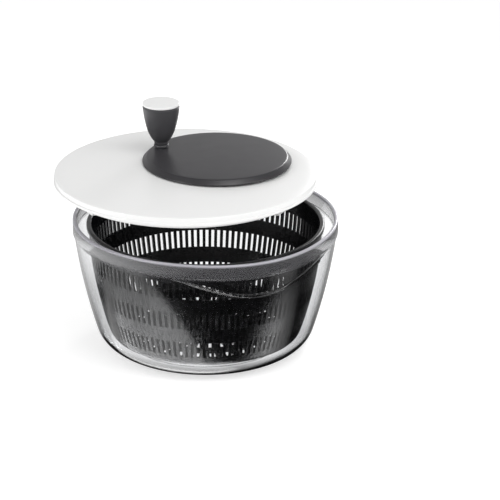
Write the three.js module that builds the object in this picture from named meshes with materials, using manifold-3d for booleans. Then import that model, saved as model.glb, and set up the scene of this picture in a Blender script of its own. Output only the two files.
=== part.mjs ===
// A hand-cranked salad spinner: a clear serving bowl with a pouring spout, a slotted basket that spins on a
// pin in the bowl, and a lid. The lid carries a crank disc, an internal gear pair and the arms that drive
// the basket.
// Millimetres, +Z up. The origin is the centre of the bowl's flat base, on the surface it stands on.
// +Y points away from the user and +X to the user's right. The lid hangs a little above the bowl at rest.
import * as THREE from "three";
import { mergeVertices } from "three/addons/utils/BufferGeometryUtils.js";
import Module from "manifold-3d";

const wasm = await Module();
wasm.setup();

// ---------------------------------------------------------------- driving dimensions
const ROUND = 40; // facets round the large shells
const SMALL_ROUND = 16; // facets round the small turned parts
const GAP = 0.3; // air left between pieces that touch or are fixed to each other
const RUNNING = 0.3; // radial clearance of a turning fit

// Bowl.
const BOWL_HEIGHT = 133;
const BOWL_RIM_RADIUS = 131;
const BOWL_WALL = 2.5;
const BOWL_FLOOR = 3;
const BASE_STEP = 28.9; // from the foot of the wall in to the edge of the flat base
const CORNER_HEIGHT = 20; // the rounded corner between base and wall
const BAND_HEIGHT = 14; // the proud band under the rim
const BAND_PROUD = 1.2;
const WALL_TAPER = 0.121; // how fast the wall draws in below the band, mm per mm
const WALL_BARREL = 0.00091; // and how much faster with each mm further down
const RIM_WIDTH = 4;
const SPOUT_ANGLE = -65; // degrees from +X
const SPOUT_HALF_SPAN = 44; // degrees either side
const SPOUT_BULGE = 4;
const SPOUT_DIP = 24; // how far the band's lower edge runs down at the spout
const SPOUT_START = 45; // depth below the rim at which the wall begins to swell
const BOWL_STEPS = [0.22, 0.46, 0.69, 0.85]; // where the wall's curve is stepped, as shares of its height

// Pivot pin between bowl and basket.
const PIVOT_RADIUS = 4;
const PIVOT_BOSS_WALL = 5;
const PIVOT_BOSS_RISE = 5; // above the bowl's floor

// Basket.
const HUB_CLEARANCE = 2; // between the pivot's boss and the basket's hub
const BASKET_HUB_DROP = 3; // how far the hub hangs below the basket's floor
const BASKET_HUB_WALL = 4;
const BASKET_FLOOR = 2.2;
const BASKET_FLOOR_STEP = 5; // from the foot of the wall in to the edge of the flat floor
const BASKET_FOOT_CLEARANCE = 9.5; // between the bowl and the basket where its lower corner ends
const BASKET_CORNER = 9;
const BASKET_WALL = 2.2;
const BASKET_STEPS = [0, 0.26, 0.57, 0.82]; // where the wall's curve is stepped, as shares of its height
const BASKET_RIM_CLEARANCE = 9.5; // from the inside of the bowl's rim in to the basket's rim
const BASKET_RIM_OVERHANG = 2.5; // how far the rim stands out from the wall under it
const BASKET_RIM_DROP = 5.5; // from the bowl's rim down to the basket's rim
const BASKET_RIM_DEPTH = 4;
const SLOT_START = 11; // from the basket's floor up to the first row of slots
const SLOT_PITCH = 33; // from one row to the next, with as many rows as fit under the rim
const SLOT_HEIGHT = 17.5;
const SLOTS_IN_ROW = 16;
const SLOT_WIDTH = 6;
const FLOOR_SLOTS = 8;
const FLOOR_SLOT_INNER = 34;
const FLOOR_SLOT_MARGIN = 12; // from the slots' outer ends to the edge of the flat floor
const LUG_DEPTH = 9; // driving lugs on the inside of the neck
const LUG_THICKNESS = 2.4;
const LUG_HEIGHT = 14;

// Lid. Its own zero is the underside of its edge.
const LID_INSET = 2.6; // from the bowl's rim in to the lid's edge
const LID_EDGE_HEIGHT = 8;
const LID_LIP = 0.8; // the small flange along the bottom of the edge
const LID_LIP_HEIGHT = 1.8;
const LID_DOME = 4;
const LID_WALL = 2.4;
const LID_STEPS = [0.265, 0.515, 0.75, 0.935]; // where the dome is stepped, as shares of its radius
const SKIRT_CLEARANCE = 3; // from the inside of the bowl's rim in to the skirt's root
const SKIRT_DRAW = 2.8; // how far the skirt draws in towards its foot
const SKIRT_WALL = 2;
const SKIRT_DEPTH = 4.4;
const LID_LIFT = 38; // how far above its seat the lid is held
const LID_SHIFT = -19.5; // and how far to the left

// Gears.
const GEAR_MODULE = 2;
const RING_TEETH = 48;
const PINION_TEETH = 12;
const PRESSURE_ANGLE = 20; // degrees
const BACKLASH = 0.5; // play of the tooth pair along the pitch circle
const RING_ADDENDUM = 0.55; // in modules
const PINION_ADDENDUM = 0.9;
const DEDENDUM = 1.25;
const RING_WALL = 3;
const GEAR_FLOAT = 1.4; // between the ring gear and the tray's floor
const RING_TOP = 10;
const PINION_FACE = 8;
const CRANK_BEARING = 31; // degrees from +X, where the crank's axis stands from the lid's

// Gear tray under the lid.
const TRAY_FLOOR_BOTTOM = -9;
const TRAY_FLOOR = 2.4;
const TRAY_POST_CLEARANCE = 0.8; // between the post's flange and the inside of the tray
const TRAY_WALL = 2.4;
const TRAY_PROUD = 2; // how far the tray stands above the crown of the lid
const LID_HOLE_CLEARANCE = 1;
const TRAY_FLANGE_WIDTH = 10;
const TRAY_FLANGE_TOP = 1.7;
const TRAY_FLANGE = 2.4;
const TRAY_SCREWS = 5;
const TRAY_SCREW_START = 20; // degrees
const SCREW_RADIUS = 1.6;
const SCREW_HEAD_RADIUS = 3;
const SCREW_HEAD = 2;
const SCREW_BOSS_RADIUS = 4;
const SCREW_BITE = 3.4; // how far a tray screw reaches into its boss

// Crank.
const DISC_CLEARANCE = 2; // between the tray and the inside of the disc's skirt
const DISC_FLOAT = 2.4; // between the tray's top and the disc's underside
const DISC_SKIRT_FLOAT = 0.6; // between the crown of the lid and the disc's skirt
const DISC_WALL = 2.6;
const DISC_EDGE = 1; // height of the upright edge along the foot of the skirt
const DISC_ROUND = 1; // the soft edge between skirt and top
const DISC_SLOPE = 4.2; // how far the skirt leans in from its foot to the top
const CARRIER_WALL = 2; // the wall under the disc that grips the ring gear
const CARRIER_GRIP = 5; // how far the carrier reaches down over the ring gear
const HUB_WALL = 4.7;
const HUB_FLOAT = 1.1; // between the crank bush and the hub
const AXLE_RADIUS = 3;
const AXLE_COVER = 1; // plastic left between the axle and the disc's underside
const AXLE_DROP = 0.6; // how far the axle reaches below the top of the counterbore
const CRANK_BOSS_WALL = 4.4;
const CRANK_BOSS_TOP = 8;
const CRANK_BUSH_WALL = 2;
const BUSH_FLANGE = 1.2; // thickness, and the flange's overhang is BUSH_FLANGE_WIDTH
const BUSH_FLANGE_WIDTH = 2;
const COUNTERBORE_CLEARANCE = 1;
const COUNTERBORE_TOP = -1.4;
const WASHER = 1;
const WASHER_OVERHANG = 3.4; // how far the crank's washer stands out from its axle

// Drive spindle and arms.
const SPINDLE_RADIUS = 3;
const SPINDLE_TOP = 5;
const SPINDLE_BUSH_WALL = 1.7;
const SPINDLE_BOSS_WALL = 3.7;
const SPINDLE_BOSS_DROP = 3; // below the tray's floor
const CLIP = 0.9;
const CLIP_OVERHANG = 3;
const SPINDLE_WASHER_OVERHANG = 5;
const ARM_PLATE = 3;
const ARM_PLATE_GAP = 0.3; // between the spindle's washer and the plate
const ARM_HUB_RADIUS = 34;
const ARM_RIB = 2; // width and height of the rib along each arm
const ARMS = 3;
const ARM_WIDTH = 12;
const ARM_START = 90; // degrees
const ARM_CLEARANCE = 6.5; // from the arm's tip to the basket's wall, and from its flank to a lug

// Knob, measured from the disc's top.
const POST_CLEARANCE = 0.5; // between the ring gear's carrier and the post's flange
const KNOB_BEARING = 157; // degrees from +X about the crank's axis
const KNOB_HEIGHT = 46;
const KNOB_TOP_RADIUS = 18.3;
const KNOB_FOOT_RADIUS = 7;
const KNOB_FOOT = 6; // height of the straight foot
const COLLAR_PROUD = 0.4; // how far the collar stands out from the knob's foot
const COLLAR_HEIGHT = 3;
const POST_RADIUS = 2.6;
const POST_HEADROOM = 11.6; // between the post's top and the cap's seat, for the washer and screw
const POST_FLANGE_OVERHANG = 1.1;
const POST_FLANGE = 1.1;
const SLEEVE_WALL = 1.2;
const CAP_THICKNESS = 2.4;
const CAP_PLUG = 3; // how far the cap's plug reaches into the well
const CAP_CROWN = 0.8;
const WELL_CLEARANCE = 2.5; // round the washer, in the well under the cap
const WELL_DEPTH = 3; // how far the well's floor lies below the post's top
const KNOB_WASHER_OVERHANG = 1.4; // past the sleeve

// ---------------------------------------------------------------- sizes that follow
const RAD = Math.PI / 180;
const BAND_LEVEL = BOWL_HEIGHT - BAND_HEIGHT;
const WALL_TOP_RADIUS = BOWL_RIM_RADIUS - BAND_PROUD;
const RIM_INNER_RADIUS = BOWL_RIM_RADIUS - RIM_WIDTH;
const BOWL_BASE_RADIUS = wallRadius(CORNER_HEIGHT) - BASE_STEP;
const PIVOT_BOSS_RADIUS = PIVOT_RADIUS + PIVOT_BOSS_WALL;
const PIVOT_BOSS_HEIGHT = BOWL_FLOOR + PIVOT_BOSS_RISE;

const BASKET_FLOOR_LEVEL = PIVOT_BOSS_HEIGHT + HUB_CLEARANCE + BASKET_HUB_DROP;
const PIVOT_STAND = BASKET_FLOOR_LEVEL; // height of the pin's crown
const BASKET_FOOT = BASKET_FLOOR_LEVEL + BASKET_CORNER; // height at which the wall starts
const BASKET_RIM_TOP = BOWL_HEIGHT - BASKET_RIM_DROP;
const BASKET_RIM_BOTTOM = BASKET_RIM_TOP - BASKET_RIM_DEPTH;
const BASKET_RIM_RADIUS = RIM_INNER_RADIUS - BASKET_RIM_CLEARANCE;
const BASKET_NECK_RADIUS = BASKET_RIM_RADIUS - BASKET_RIM_OVERHANG;
const BASKET_FOOT_RADIUS = wallRadius(BASKET_FOOT) - BOWL_WALL - BASKET_FOOT_CLEARANCE;
const BASKET_FLOOR_RADIUS = BASKET_FOOT_RADIUS - BASKET_FLOOR_STEP;
const FLOOR_SLOT_OUTER = BASKET_FLOOR_RADIUS - FLOOR_SLOT_MARGIN;
const FIRST_SLOTS = BASKET_FLOOR_LEVEL + SLOT_START;
const SLOT_ROW_COUNT = 1 + Math.floor((BASKET_RIM_BOTTOM - SLOT_HEIGHT - FIRST_SLOTS) / SLOT_PITCH);
const SLOT_ROWS = Array.from({ length: SLOT_ROW_COUNT }, (_, i) => FIRST_SLOTS + i * SLOT_PITCH);

const LID_SEAT = BOWL_HEIGHT + GAP;
const LID_RADIUS = BOWL_RIM_RADIUS - LID_INSET;
const LID_CROWN = LID_EDGE_HEIGHT + LID_DOME;
const SKIRT_TOP_RADIUS = RIM_INNER_RADIUS - SKIRT_CLEARANCE;
const SKIRT_BOTTOM_RADIUS = SKIRT_TOP_RADIUS - SKIRT_DRAW;

const GEAR_OFFSET = ((RING_TEETH - PINION_TEETH) * GEAR_MODULE) / 2;
const RING_ROOT_RADIUS = (RING_TEETH * GEAR_MODULE) / 2 + DEDENDUM * GEAR_MODULE;
const RING_OUTER_RADIUS = RING_ROOT_RADIUS + RING_WALL;
const CARRIER_INNER_RADIUS = RING_OUTER_RADIUS + GAP;
const POST_FLANGE_RADIUS = POST_RADIUS + POST_FLANGE_OVERHANG;
const KNOB_ORBIT = CARRIER_INNER_RADIUS + CARRIER_WALL + POST_CLEARANCE + POST_FLANGE_RADIUS;
const TRAY_INNER_RADIUS = KNOB_ORBIT + POST_FLANGE_RADIUS + TRAY_POST_CLEARANCE;
const TRAY_OUTER_RADIUS = TRAY_INNER_RADIUS + TRAY_WALL;
const TRAY_TOP = LID_CROWN + TRAY_PROUD;
const LID_HOLE_RADIUS = TRAY_OUTER_RADIUS + LID_HOLE_CLEARANCE;
const TRAY_SCREW_ORBIT = TRAY_OUTER_RADIUS + TRAY_FLANGE_WIDTH / 2;
const TRAY_FLOOR_TOP = TRAY_FLOOR_BOTTOM + TRAY_FLOOR;
const RING_BOTTOM = TRAY_FLOOR_TOP + GEAR_FLOAT;
const PINION_BOTTOM = TRAY_FLOOR_TOP + BUSH_FLANGE + 2 * GAP;
const MESH_ANGLE = CRANK_BEARING + 180; // from the crank's axis towards the pinion

const DISC_RADIUS = TRAY_OUTER_RADIUS + DISC_CLEARANCE + DISC_WALL + DISC_SLOPE / 2;
const DISC_UNDERSIDE = TRAY_TOP + DISC_FLOAT;
const DISC_TOP = DISC_UNDERSIDE + DISC_WALL;
const DISC_SKIRT_BOTTOM = LID_CROWN + DISC_SKIRT_FLOAT;
const CRANK_BUSH_RADIUS = AXLE_RADIUS + RUNNING + CRANK_BUSH_WALL;
const CRANK_BOSS_RADIUS = CRANK_BUSH_RADIUS + GAP + CRANK_BOSS_WALL;
const HUB_RADIUS = AXLE_RADIUS + GAP + HUB_WALL;
const HUB_BOTTOM = CRANK_BOSS_TOP + GAP + BUSH_FLANGE + HUB_FLOAT;
const AXLE_TOP = DISC_UNDERSIDE - AXLE_COVER;
const AXLE_BOTTOM = COUNTERBORE_TOP - AXLE_DROP;
const WASHER_RADIUS = AXLE_RADIUS + WASHER_OVERHANG;
const COUNTERBORE_RADIUS = WASHER_RADIUS + COUNTERBORE_CLEARANCE;

const SPINDLE_BUSH_RADIUS = SPINDLE_RADIUS + RUNNING + SPINDLE_BUSH_WALL;
const SPINDLE_BOSS_RADIUS = SPINDLE_BUSH_RADIUS + GAP + SPINDLE_BOSS_WALL;
const SPINDLE_BOSS_BOTTOM = TRAY_FLOOR_BOTTOM - SPINDLE_BOSS_DROP;
const ARM_PLATE_TOP = SPINDLE_BOSS_BOTTOM - GAP - WASHER - ARM_PLATE_GAP;
const ARM_PLATE_BOTTOM = ARM_PLATE_TOP - ARM_PLATE;
const ARM_REACH = BASKET_NECK_RADIUS - BASKET_WALL - ARM_CLEARANCE;

const SLEEVE_RADIUS = POST_RADIUS + RUNNING + SLEEVE_WALL;
const POST_HEIGHT = KNOB_HEIGHT - CAP_THICKNESS - POST_HEADROOM;
const COLLAR_RADIUS = KNOB_FOOT_RADIUS + COLLAR_PROUD;
const CAP_SEAT = KNOB_HEIGHT - CAP_THICKNESS;
const KNOB_WASHER_RADIUS = SLEEVE_RADIUS + KNOB_WASHER_OVERHANG;
const KNOB_WELL_RADIUS = KNOB_WASHER_RADIUS + WELL_CLEARANCE;
const WELL_FLOOR = POST_HEIGHT - WELL_DEPTH;

// ---------------------------------------------------------------- looks
const plastic = (color, roughness) => new THREE.MeshStandardMaterial({ color, roughness, metalness: 0 });
const steel = () => new THREE.MeshStandardMaterial({ color: 0xb8bcc0, roughness: 0.3, metalness: 1 });
const clear = () => new THREE.MeshStandardMaterial({ color: 0xe4e9ea, roughness: 0.05, metalness: 0 });
const WHITE = 0xececea;
const ANTHRACITE = 0x54545a;
const BLACK = 0x1d1d1f;
const GREY = 0x9a9c9e;

// ---------------------------------------------------------------- helpers
// A geometry with only merged positions and no collapsed triangles.
function weld(geometry) {
  geometry.deleteAttribute("normal");
  geometry.deleteAttribute("uv");
  const merged = mergeVertices(geometry, 1e-3);
  const index = merged.index.array;
  const kept = [];
  for (let i = 0; i < index.length; i += 3) {
    const [a, b, c] = [index[i], index[i + 1], index[i + 2]];
    if (a !== b && b !== c && c !== a) kept.push(a, b, c);
  }
  merged.setIndex(kept);
  return merged;
}

// The solid that a closed geometry bounds, for joining and cutting.
function solidOf(geometry) {
  const welded = weld(geometry.clone());
  return new wasm.Manifold(
    new wasm.Mesh({
      numProp: 3,
      vertProperties: new Float32Array(welded.attributes.position.array),
      triVerts: new Uint32Array(welded.index.array),
    }),
  );
}

// The geometry of a solid.
function geometryOf(solid) {
  const mesh = solid.getMesh();
  const geometry = new THREE.BufferGeometry();
  geometry.setAttribute("position", new THREE.BufferAttribute(mesh.vertProperties, 3));
  geometry.setIndex(new THREE.BufferAttribute(mesh.triVerts, 1));
  return geometry;
}

// One geometry joined with the first list of others, then cut by the second.
function carve(geometry, joined, cutters) {
  let solid = solidOf(geometry);
  for (const other of joined) solid = solid.add(solidOf(other));
  for (const other of cutters) solid = solid.subtract(solidOf(other));
  const whole = geometryOf(solid);
  whole.computeVertexNormals();
  return whole;
}

// Turns a profile of [radius, height] pairs about Z.
function turn(profile, segments = SMALL_ROUND) {
  const points = profile.map(([r, z]) => new THREE.Vector2(r, z));
  const geometry = new THREE.LatheGeometry(points, segments);
  geometry.rotateX(Math.PI / 2);
  return geometry;
}

// A solid round bar from one height to another.
function bar(radius, bottom, top, segments = SMALL_ROUND) {
  const profile = [[0, bottom], [radius, bottom], [radius, top], [0, top]];
  return turn(profile, segments);
}

// A hollow round bar.
function tube(inner, outer, bottom, top, segments = SMALL_ROUND) {
  const profile = [[inner, bottom], [outer, bottom], [outer, top], [inner, top], [inner, bottom]];
  return turn(profile, segments);
}

// A flat outline raised from one height to another.
function raise(shape, bottom, top) {
  const options = { depth: top - bottom, bevelEnabled: false, curveSegments: 12 };
  const geometry = new THREE.ExtrudeGeometry(shape, options);
  geometry.translate(0, 0, bottom);
  return geometry;
}

// A block lying along a spoke: from one radius to another, turned to an angle in degrees.
function spoke(inner, outer, width, bottom, top, degrees) {
  const geometry = new THREE.BoxGeometry(outer - inner, width, top - bottom);
  geometry.translate((inner + outer) / 2, 0, (bottom + top) / 2);
  geometry.rotateZ(degrees * RAD);
  return geometry;
}

// A geometry moved sideways to a place on a circle.
function atOrbit(geometry, orbit, degrees) {
  geometry.translate(orbit * Math.cos(degrees * RAD), orbit * Math.sin(degrees * RAD), 0);
  return geometry;
}

// Points of a curve as [radius, height] pairs.
const sampled = (curve, divisions) => curve.getPoints(divisions).map((p) => [p.x, p.y]);

function piece(name, geometry, material) {
  const mesh = new THREE.Mesh(geometry, material);
  mesh.name = name;
  return mesh;
}

// ---------------------------------------------------------------- bowl
// Outer radius of the bowl's wall at a height above the rounded corner.
function wallRadius(height) {
  const below = BAND_LEVEL - height;
  return WALL_TOP_RADIUS - WALL_TAPER * below - WALL_BARREL * below * below;
}

// 1 at the middle of the spout, falling smoothly to 0 at its ends.
function spoutShare(angle) {
  const off = Math.abs(THREE.MathUtils.euclideanModulo(angle / RAD - SPOUT_ANGLE + 180, 360) - 180);
  return off < SPOUT_HALF_SPAN ? Math.cos((off / SPOUT_HALF_SPAN) * (Math.PI / 2)) ** 2 : 0;
}

// Swells the rim into the spout and pulls the band's lower edge down under it.
function shapeSpout(geometry) {
  const start = BOWL_HEIGHT - SPOUT_START;
  const position = geometry.attributes.position;
  for (let i = 0; i < position.count; i += 1) {
    const [x, y, z] = [position.getX(i), position.getY(i), position.getZ(i)];
    if (z < start) continue;
    const angle = Math.atan2(y, x);
    const share = spoutShare(angle);
    const edge = BAND_LEVEL - SPOUT_DIP * share;
    const fromStart = start + ((z - start) * (edge - start)) / (BAND_LEVEL - start);
    const toRim = BOWL_HEIGHT - ((BOWL_HEIGHT - z) * (BOWL_HEIGHT - edge)) / BAND_HEIGHT;
    const height = z < BAND_LEVEL ? fromStart : toRim;
    const swell = THREE.MathUtils.smoothstep(height, start, BOWL_HEIGHT) * SPOUT_BULGE * share;
    const radius = Math.hypot(x, y) + wallRadius(height) - wallRadius(z) + swell;
    position.setXYZ(i, radius * Math.cos(angle), radius * Math.sin(angle), height);
  }
  return geometry;
}

function bowlGeometry() {
  const tangent = WALL_TAPER + 2 * WALL_BARREL * (BAND_LEVEL - CORNER_HEIGHT);
  const cornerRadius = wallRadius(CORNER_HEIGHT);
  const reach = CORNER_HEIGHT * 0.68;
  const corner = (inset, foot) =>
    new THREE.CubicBezierCurve(
      new THREE.Vector2(BOWL_BASE_RADIUS, foot),
      new THREE.Vector2(BOWL_BASE_RADIUS + 11, foot),
      new THREE.Vector2(cornerRadius - inset - reach * tangent, CORNER_HEIGHT - reach + foot * 0.6),
      new THREE.Vector2(cornerRadius - inset, CORNER_HEIGHT),
    );
  const levels = BOWL_STEPS.map((share) => CORNER_HEIGHT + share * (BAND_LEVEL - CORNER_HEIGHT));
  const outer = levels.map((z) => [wallRadius(z), z]);
  const inner = levels.map((z) => [wallRadius(z) - BOWL_WALL, z]).reverse();
  const profile = [
    [0, 0],
    ...sampled(corner(0, 0), 4),
    ...outer,
    [wallRadius(BAND_LEVEL - 1), BAND_LEVEL - 1],
    [BOWL_RIM_RADIUS, BAND_LEVEL],
    [BOWL_RIM_RADIUS, BOWL_HEIGHT - 1],
    [BOWL_RIM_RADIUS - 1, BOWL_HEIGHT],
    [RIM_INNER_RADIUS + 1, BOWL_HEIGHT],
    [RIM_INNER_RADIUS, BOWL_HEIGHT - 1],
    [RIM_INNER_RADIUS, BAND_LEVEL],
    ...inner,
    ...sampled(corner(BOWL_WALL, BOWL_FLOOR), 4).reverse(),
    [PIVOT_BOSS_RADIUS + 3, BOWL_FLOOR],
    [PIVOT_BOSS_RADIUS - 2, PIVOT_BOSS_HEIGHT],
    [PIVOT_RADIUS + GAP, PIVOT_BOSS_HEIGHT],
    [PIVOT_RADIUS + GAP, BOWL_FLOOR],
    [0, BOWL_FLOOR],
  ];
  return shapeSpout(turn(profile, ROUND));
}

function pivotPinGeometry() {
  const profile = [
    [0, BOWL_FLOOR + GAP],
    [PIVOT_RADIUS, BOWL_FLOOR + GAP],
    [PIVOT_RADIUS, PIVOT_STAND - 2],
    [PIVOT_RADIUS - 2, PIVOT_STAND - 0.4],
    [0, PIVOT_STAND],
  ];
  return turn(profile);
}

// ---------------------------------------------------------------- basket
// Outer radius of the basket's wall at a height above its lower corner.
function basketRadius(height) {
  const share = (height - BASKET_FOOT) / (BASKET_RIM_BOTTOM - BASKET_FOOT);
  const spread = BASKET_NECK_RADIUS - BASKET_FOOT_RADIUS;
  return BASKET_FOOT_RADIUS + spread * Math.sin((share * Math.PI) / 2) ** 0.9;
}

function basketGeometry() {
  const socketRadius = PIVOT_RADIUS + RUNNING + SLEEVE_WALL + GAP;
  const hubTop = PIVOT_STAND + 4;
  const levels = BASKET_STEPS.map((share) => BASKET_FOOT + share * (BASKET_RIM_BOTTOM - BASKET_FOOT));
  const neckInner = BASKET_NECK_RADIUS - BASKET_WALL;
  const profile = [
    [0, BASKET_FLOOR_LEVEL - BASKET_HUB_DROP],
    [socketRadius + BASKET_HUB_WALL, BASKET_FLOOR_LEVEL - BASKET_HUB_DROP],
    [socketRadius + BASKET_HUB_WALL + 1, BASKET_FLOOR_LEVEL],
    [BASKET_FLOOR_RADIUS - 4, BASKET_FLOOR_LEVEL],
    [BASKET_FLOOR_RADIUS + 1.5, BASKET_FLOOR_LEVEL + 3],
    ...levels.map((z) => [basketRadius(z), z]),
    [BASKET_NECK_RADIUS, BASKET_RIM_BOTTOM],
    [BASKET_RIM_RADIUS, BASKET_RIM_BOTTOM],
    [BASKET_RIM_RADIUS, BASKET_RIM_TOP - 0.8],
    [BASKET_RIM_RADIUS - 0.8, BASKET_RIM_TOP],
    [neckInner, BASKET_RIM_TOP],
    ...levels.map((z) => [basketRadius(z) - BASKET_WALL, z]).reverse(),
    [BASKET_FLOOR_RADIUS, BASKET_FLOOR_LEVEL + BASKET_FLOOR + 3],
    [BASKET_FLOOR_RADIUS - 5, BASKET_FLOOR_LEVEL + BASKET_FLOOR],
    [socketRadius + BASKET_HUB_WALL + 1, BASKET_FLOOR_LEVEL + BASKET_FLOOR],
    [socketRadius + BASKET_HUB_WALL - 2, hubTop + 2],
    [0, hubTop + 2],
  ];
  const socket = bar(socketRadius, BASKET_FLOOR_LEVEL - 4, hubTop);
  const cutters = [socket];
  for (let i = 0; i < SLOTS_IN_ROW; i += 1) {
    const degrees = ((i + 0.5) * 360) / SLOTS_IN_ROW;
    for (const bottom of SLOT_ROWS) {
      const outer = basketRadius(bottom + SLOT_HEIGHT) + 4;
      const inner = basketRadius(bottom) - BASKET_WALL - 4;
      cutters.push(spoke(inner, outer, SLOT_WIDTH, bottom, bottom + SLOT_HEIGHT, degrees));
    }
  }
  for (let i = 0; i < FLOOR_SLOTS; i += 1) {
    const top = BASKET_FLOOR_LEVEL + BASKET_FLOOR + 1;
    const bottom = BASKET_FLOOR_LEVEL - 1;
    cutters.push(spoke(FLOOR_SLOT_INNER, FLOOR_SLOT_OUTER, SLOT_WIDTH, bottom, top, (i * 360) / FLOOR_SLOTS));
  }
  const lugs = [];
  const lugInner = neckInner - LUG_DEPTH;
  const swing = (ARM_WIDTH / 2 + ARM_CLEARANCE + LUG_THICKNESS / 2) / lugInner / RAD;
  for (let i = 0; i < ARMS; i += 1) {
    for (const side of [-swing, swing]) {
      const degrees = ARM_START + (i * 360) / ARMS + side;
      const top = BASKET_RIM_TOP - 1;
      lugs.push(spoke(lugInner, neckInner + 1, LUG_THICKNESS, top - LUG_HEIGHT, top, degrees));
    }
  }
  return carve(turn(profile, ROUND), lugs, cutters);
}

function basketBushGeometry() {
  const inner = PIVOT_RADIUS + RUNNING;
  const outer = inner + SLEEVE_WALL;
  const crown = PIVOT_STAND + GAP;
  const mouth = BASKET_FLOOR_LEVEL - BASKET_HUB_DROP + GAP;
  const profile = [
    [0, crown],
    [inner, crown],
    [inner, mouth],
    [outer, mouth],
    [outer, PIVOT_STAND + 4 - GAP],
    [0, PIVOT_STAND + 4 - GAP],
  ];
  return turn(profile);
}

// ---------------------------------------------------------------- lid
// Height of the lid's top surface at a distance from its axis.
const domeHeight = (radius) => LID_EDGE_HEIGHT + LID_DOME * (1 - (radius / LID_RADIUS) ** 2);

// Places of the tray's screws, as angles about the crank's axis.
const trayScrewAngles = () =>
  Array.from({ length: TRAY_SCREWS }, (_, i) => TRAY_SCREW_START + (i * 360) / TRAY_SCREWS);

// Distance from the lid's axis of a point on a circle about the crank's axis.
function fromLidAxis(orbit, degrees) {
  const between = (degrees - CRANK_BEARING) * RAD;
  return Math.hypot(GEAR_OFFSET + orbit * Math.cos(between), orbit * Math.sin(between));
}

// A geometry moved from the crank's axis to its place in the lid's frame.
const toCrankAxis = (geometry) => atOrbit(geometry, GEAR_OFFSET, CRANK_BEARING);

function lidGeometry() {
  const radii = LID_STEPS.map((share) => share * LID_RADIUS);
  const inside = LID_RADIUS - LID_WALL;
  const profile = [
    [0, domeHeight(0) - LID_WALL],
    ...radii.slice(0, -1).map((r) => [r, domeHeight(r) - LID_WALL]),
    [SKIRT_TOP_RADIUS - SKIRT_WALL - 2, domeHeight(SKIRT_TOP_RADIUS) - LID_WALL],
    [SKIRT_BOTTOM_RADIUS - SKIRT_WALL, -SKIRT_DEPTH],
    [SKIRT_BOTTOM_RADIUS, -SKIRT_DEPTH],
    [SKIRT_TOP_RADIUS, 0],
    [SKIRT_TOP_RADIUS + 0.2, 3],
    [inside, 3],
    [inside, 0],
    [LID_RADIUS + LID_LIP, 0],
    [LID_RADIUS + LID_LIP, LID_LIP_HEIGHT - 0.3],
    [LID_RADIUS, LID_LIP_HEIGHT],
    [LID_RADIUS, LID_EDGE_HEIGHT - 1],
    [LID_RADIUS - 1, domeHeight(LID_RADIUS - 1)],
    ...radii.map((r) => [r, domeHeight(r)]).reverse(),
    [0, domeHeight(0)],
  ];
  const underFlange = TRAY_FLANGE_TOP + GAP;
  const bosses = [];
  const holes = [toCrankAxis(bar(LID_HOLE_RADIUS, -LID_DOME, DISC_TOP, ROUND))];
  for (const degrees of trayScrewAngles()) {
    const place = (geometry) => toCrankAxis(atOrbit(geometry, TRAY_SCREW_ORBIT, degrees));
    const bossTop = domeHeight(fromLidAxis(TRAY_SCREW_ORBIT, degrees)) - LID_WALL / 2;
    bosses.push(place(bar(SCREW_BOSS_RADIUS, underFlange, bossTop)));
    holes.push(place(bar(SCREW_RADIUS + GAP, underFlange - 1, underFlange + SCREW_BITE + GAP)));
  }
  return carve(turn(profile, ROUND), bosses, holes);
}

// The tray that closes the lid from below and holds the gears. Its zero is the crank's axis.
function gearTrayGeometry() {
  const flangeRadius = TRAY_OUTER_RADIUS + TRAY_FLANGE_WIDTH;
  const profile = [
    [0, TRAY_FLOOR_BOTTOM],
    [TRAY_OUTER_RADIUS - 2, TRAY_FLOOR_BOTTOM],
    [TRAY_OUTER_RADIUS, TRAY_FLOOR_BOTTOM + 2],
    [TRAY_OUTER_RADIUS, TRAY_FLANGE_TOP - TRAY_FLANGE],
    [flangeRadius, TRAY_FLANGE_TOP - TRAY_FLANGE],
    [flangeRadius, TRAY_FLANGE_TOP],
    [TRAY_OUTER_RADIUS, TRAY_FLANGE_TOP],
    [TRAY_OUTER_RADIUS, TRAY_TOP],
    [TRAY_INNER_RADIUS, TRAY_TOP],
    [TRAY_INNER_RADIUS, TRAY_FLOOR_TOP],
    [0, TRAY_FLOOR_TOP],
  ];
  const spindleBoss = bar(SPINDLE_BOSS_RADIUS, SPINDLE_BOSS_BOTTOM, TRAY_FLOOR_TOP - 0.5);
  const crankBoss = bar(CRANK_BOSS_RADIUS, TRAY_FLOOR_BOTTOM + 0.5, CRANK_BOSS_TOP);
  const spindleHole = bar(SPINDLE_BUSH_RADIUS + GAP, SPINDLE_BOSS_BOTTOM - 1, TRAY_FLOOR_TOP + 1);
  const crankBushHole = bar(CRANK_BUSH_RADIUS + GAP, TRAY_FLOOR_BOTTOM, CRANK_BOSS_TOP + 1);
  const counterbore = bar(COUNTERBORE_RADIUS, TRAY_FLOOR_BOTTOM - 1, COUNTERBORE_TOP);
  const cutters = [atOrbit(spindleHole, GEAR_OFFSET, MESH_ANGLE), crankBushHole, counterbore];
  for (const degrees of trayScrewAngles()) {
    const screwHole = bar(SCREW_RADIUS + GAP, -TRAY_FLANGE, TRAY_FLANGE_TOP + 1);
    cutters.push(atOrbit(screwHole, TRAY_SCREW_ORBIT, degrees));
  }
  return carve(turn(profile, ROUND), [atOrbit(spindleBoss, GEAR_OFFSET, MESH_ANGLE), crankBoss], cutters);
}

// A pan-headed screw whose shank starts at zero and points up.
function screwGeometry(radius, headRadius, head, shank) {
  const profile = [
    [0, -head],
    [headRadius - 0.6, -head],
    [headRadius, -head + 0.6],
    [headRadius, 0],
    [radius, 0],
    [radius, shank - 0.6],
    [radius - 0.6, shank],
    [0, shank],
  ];
  return turn(profile, 12);
}

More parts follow.
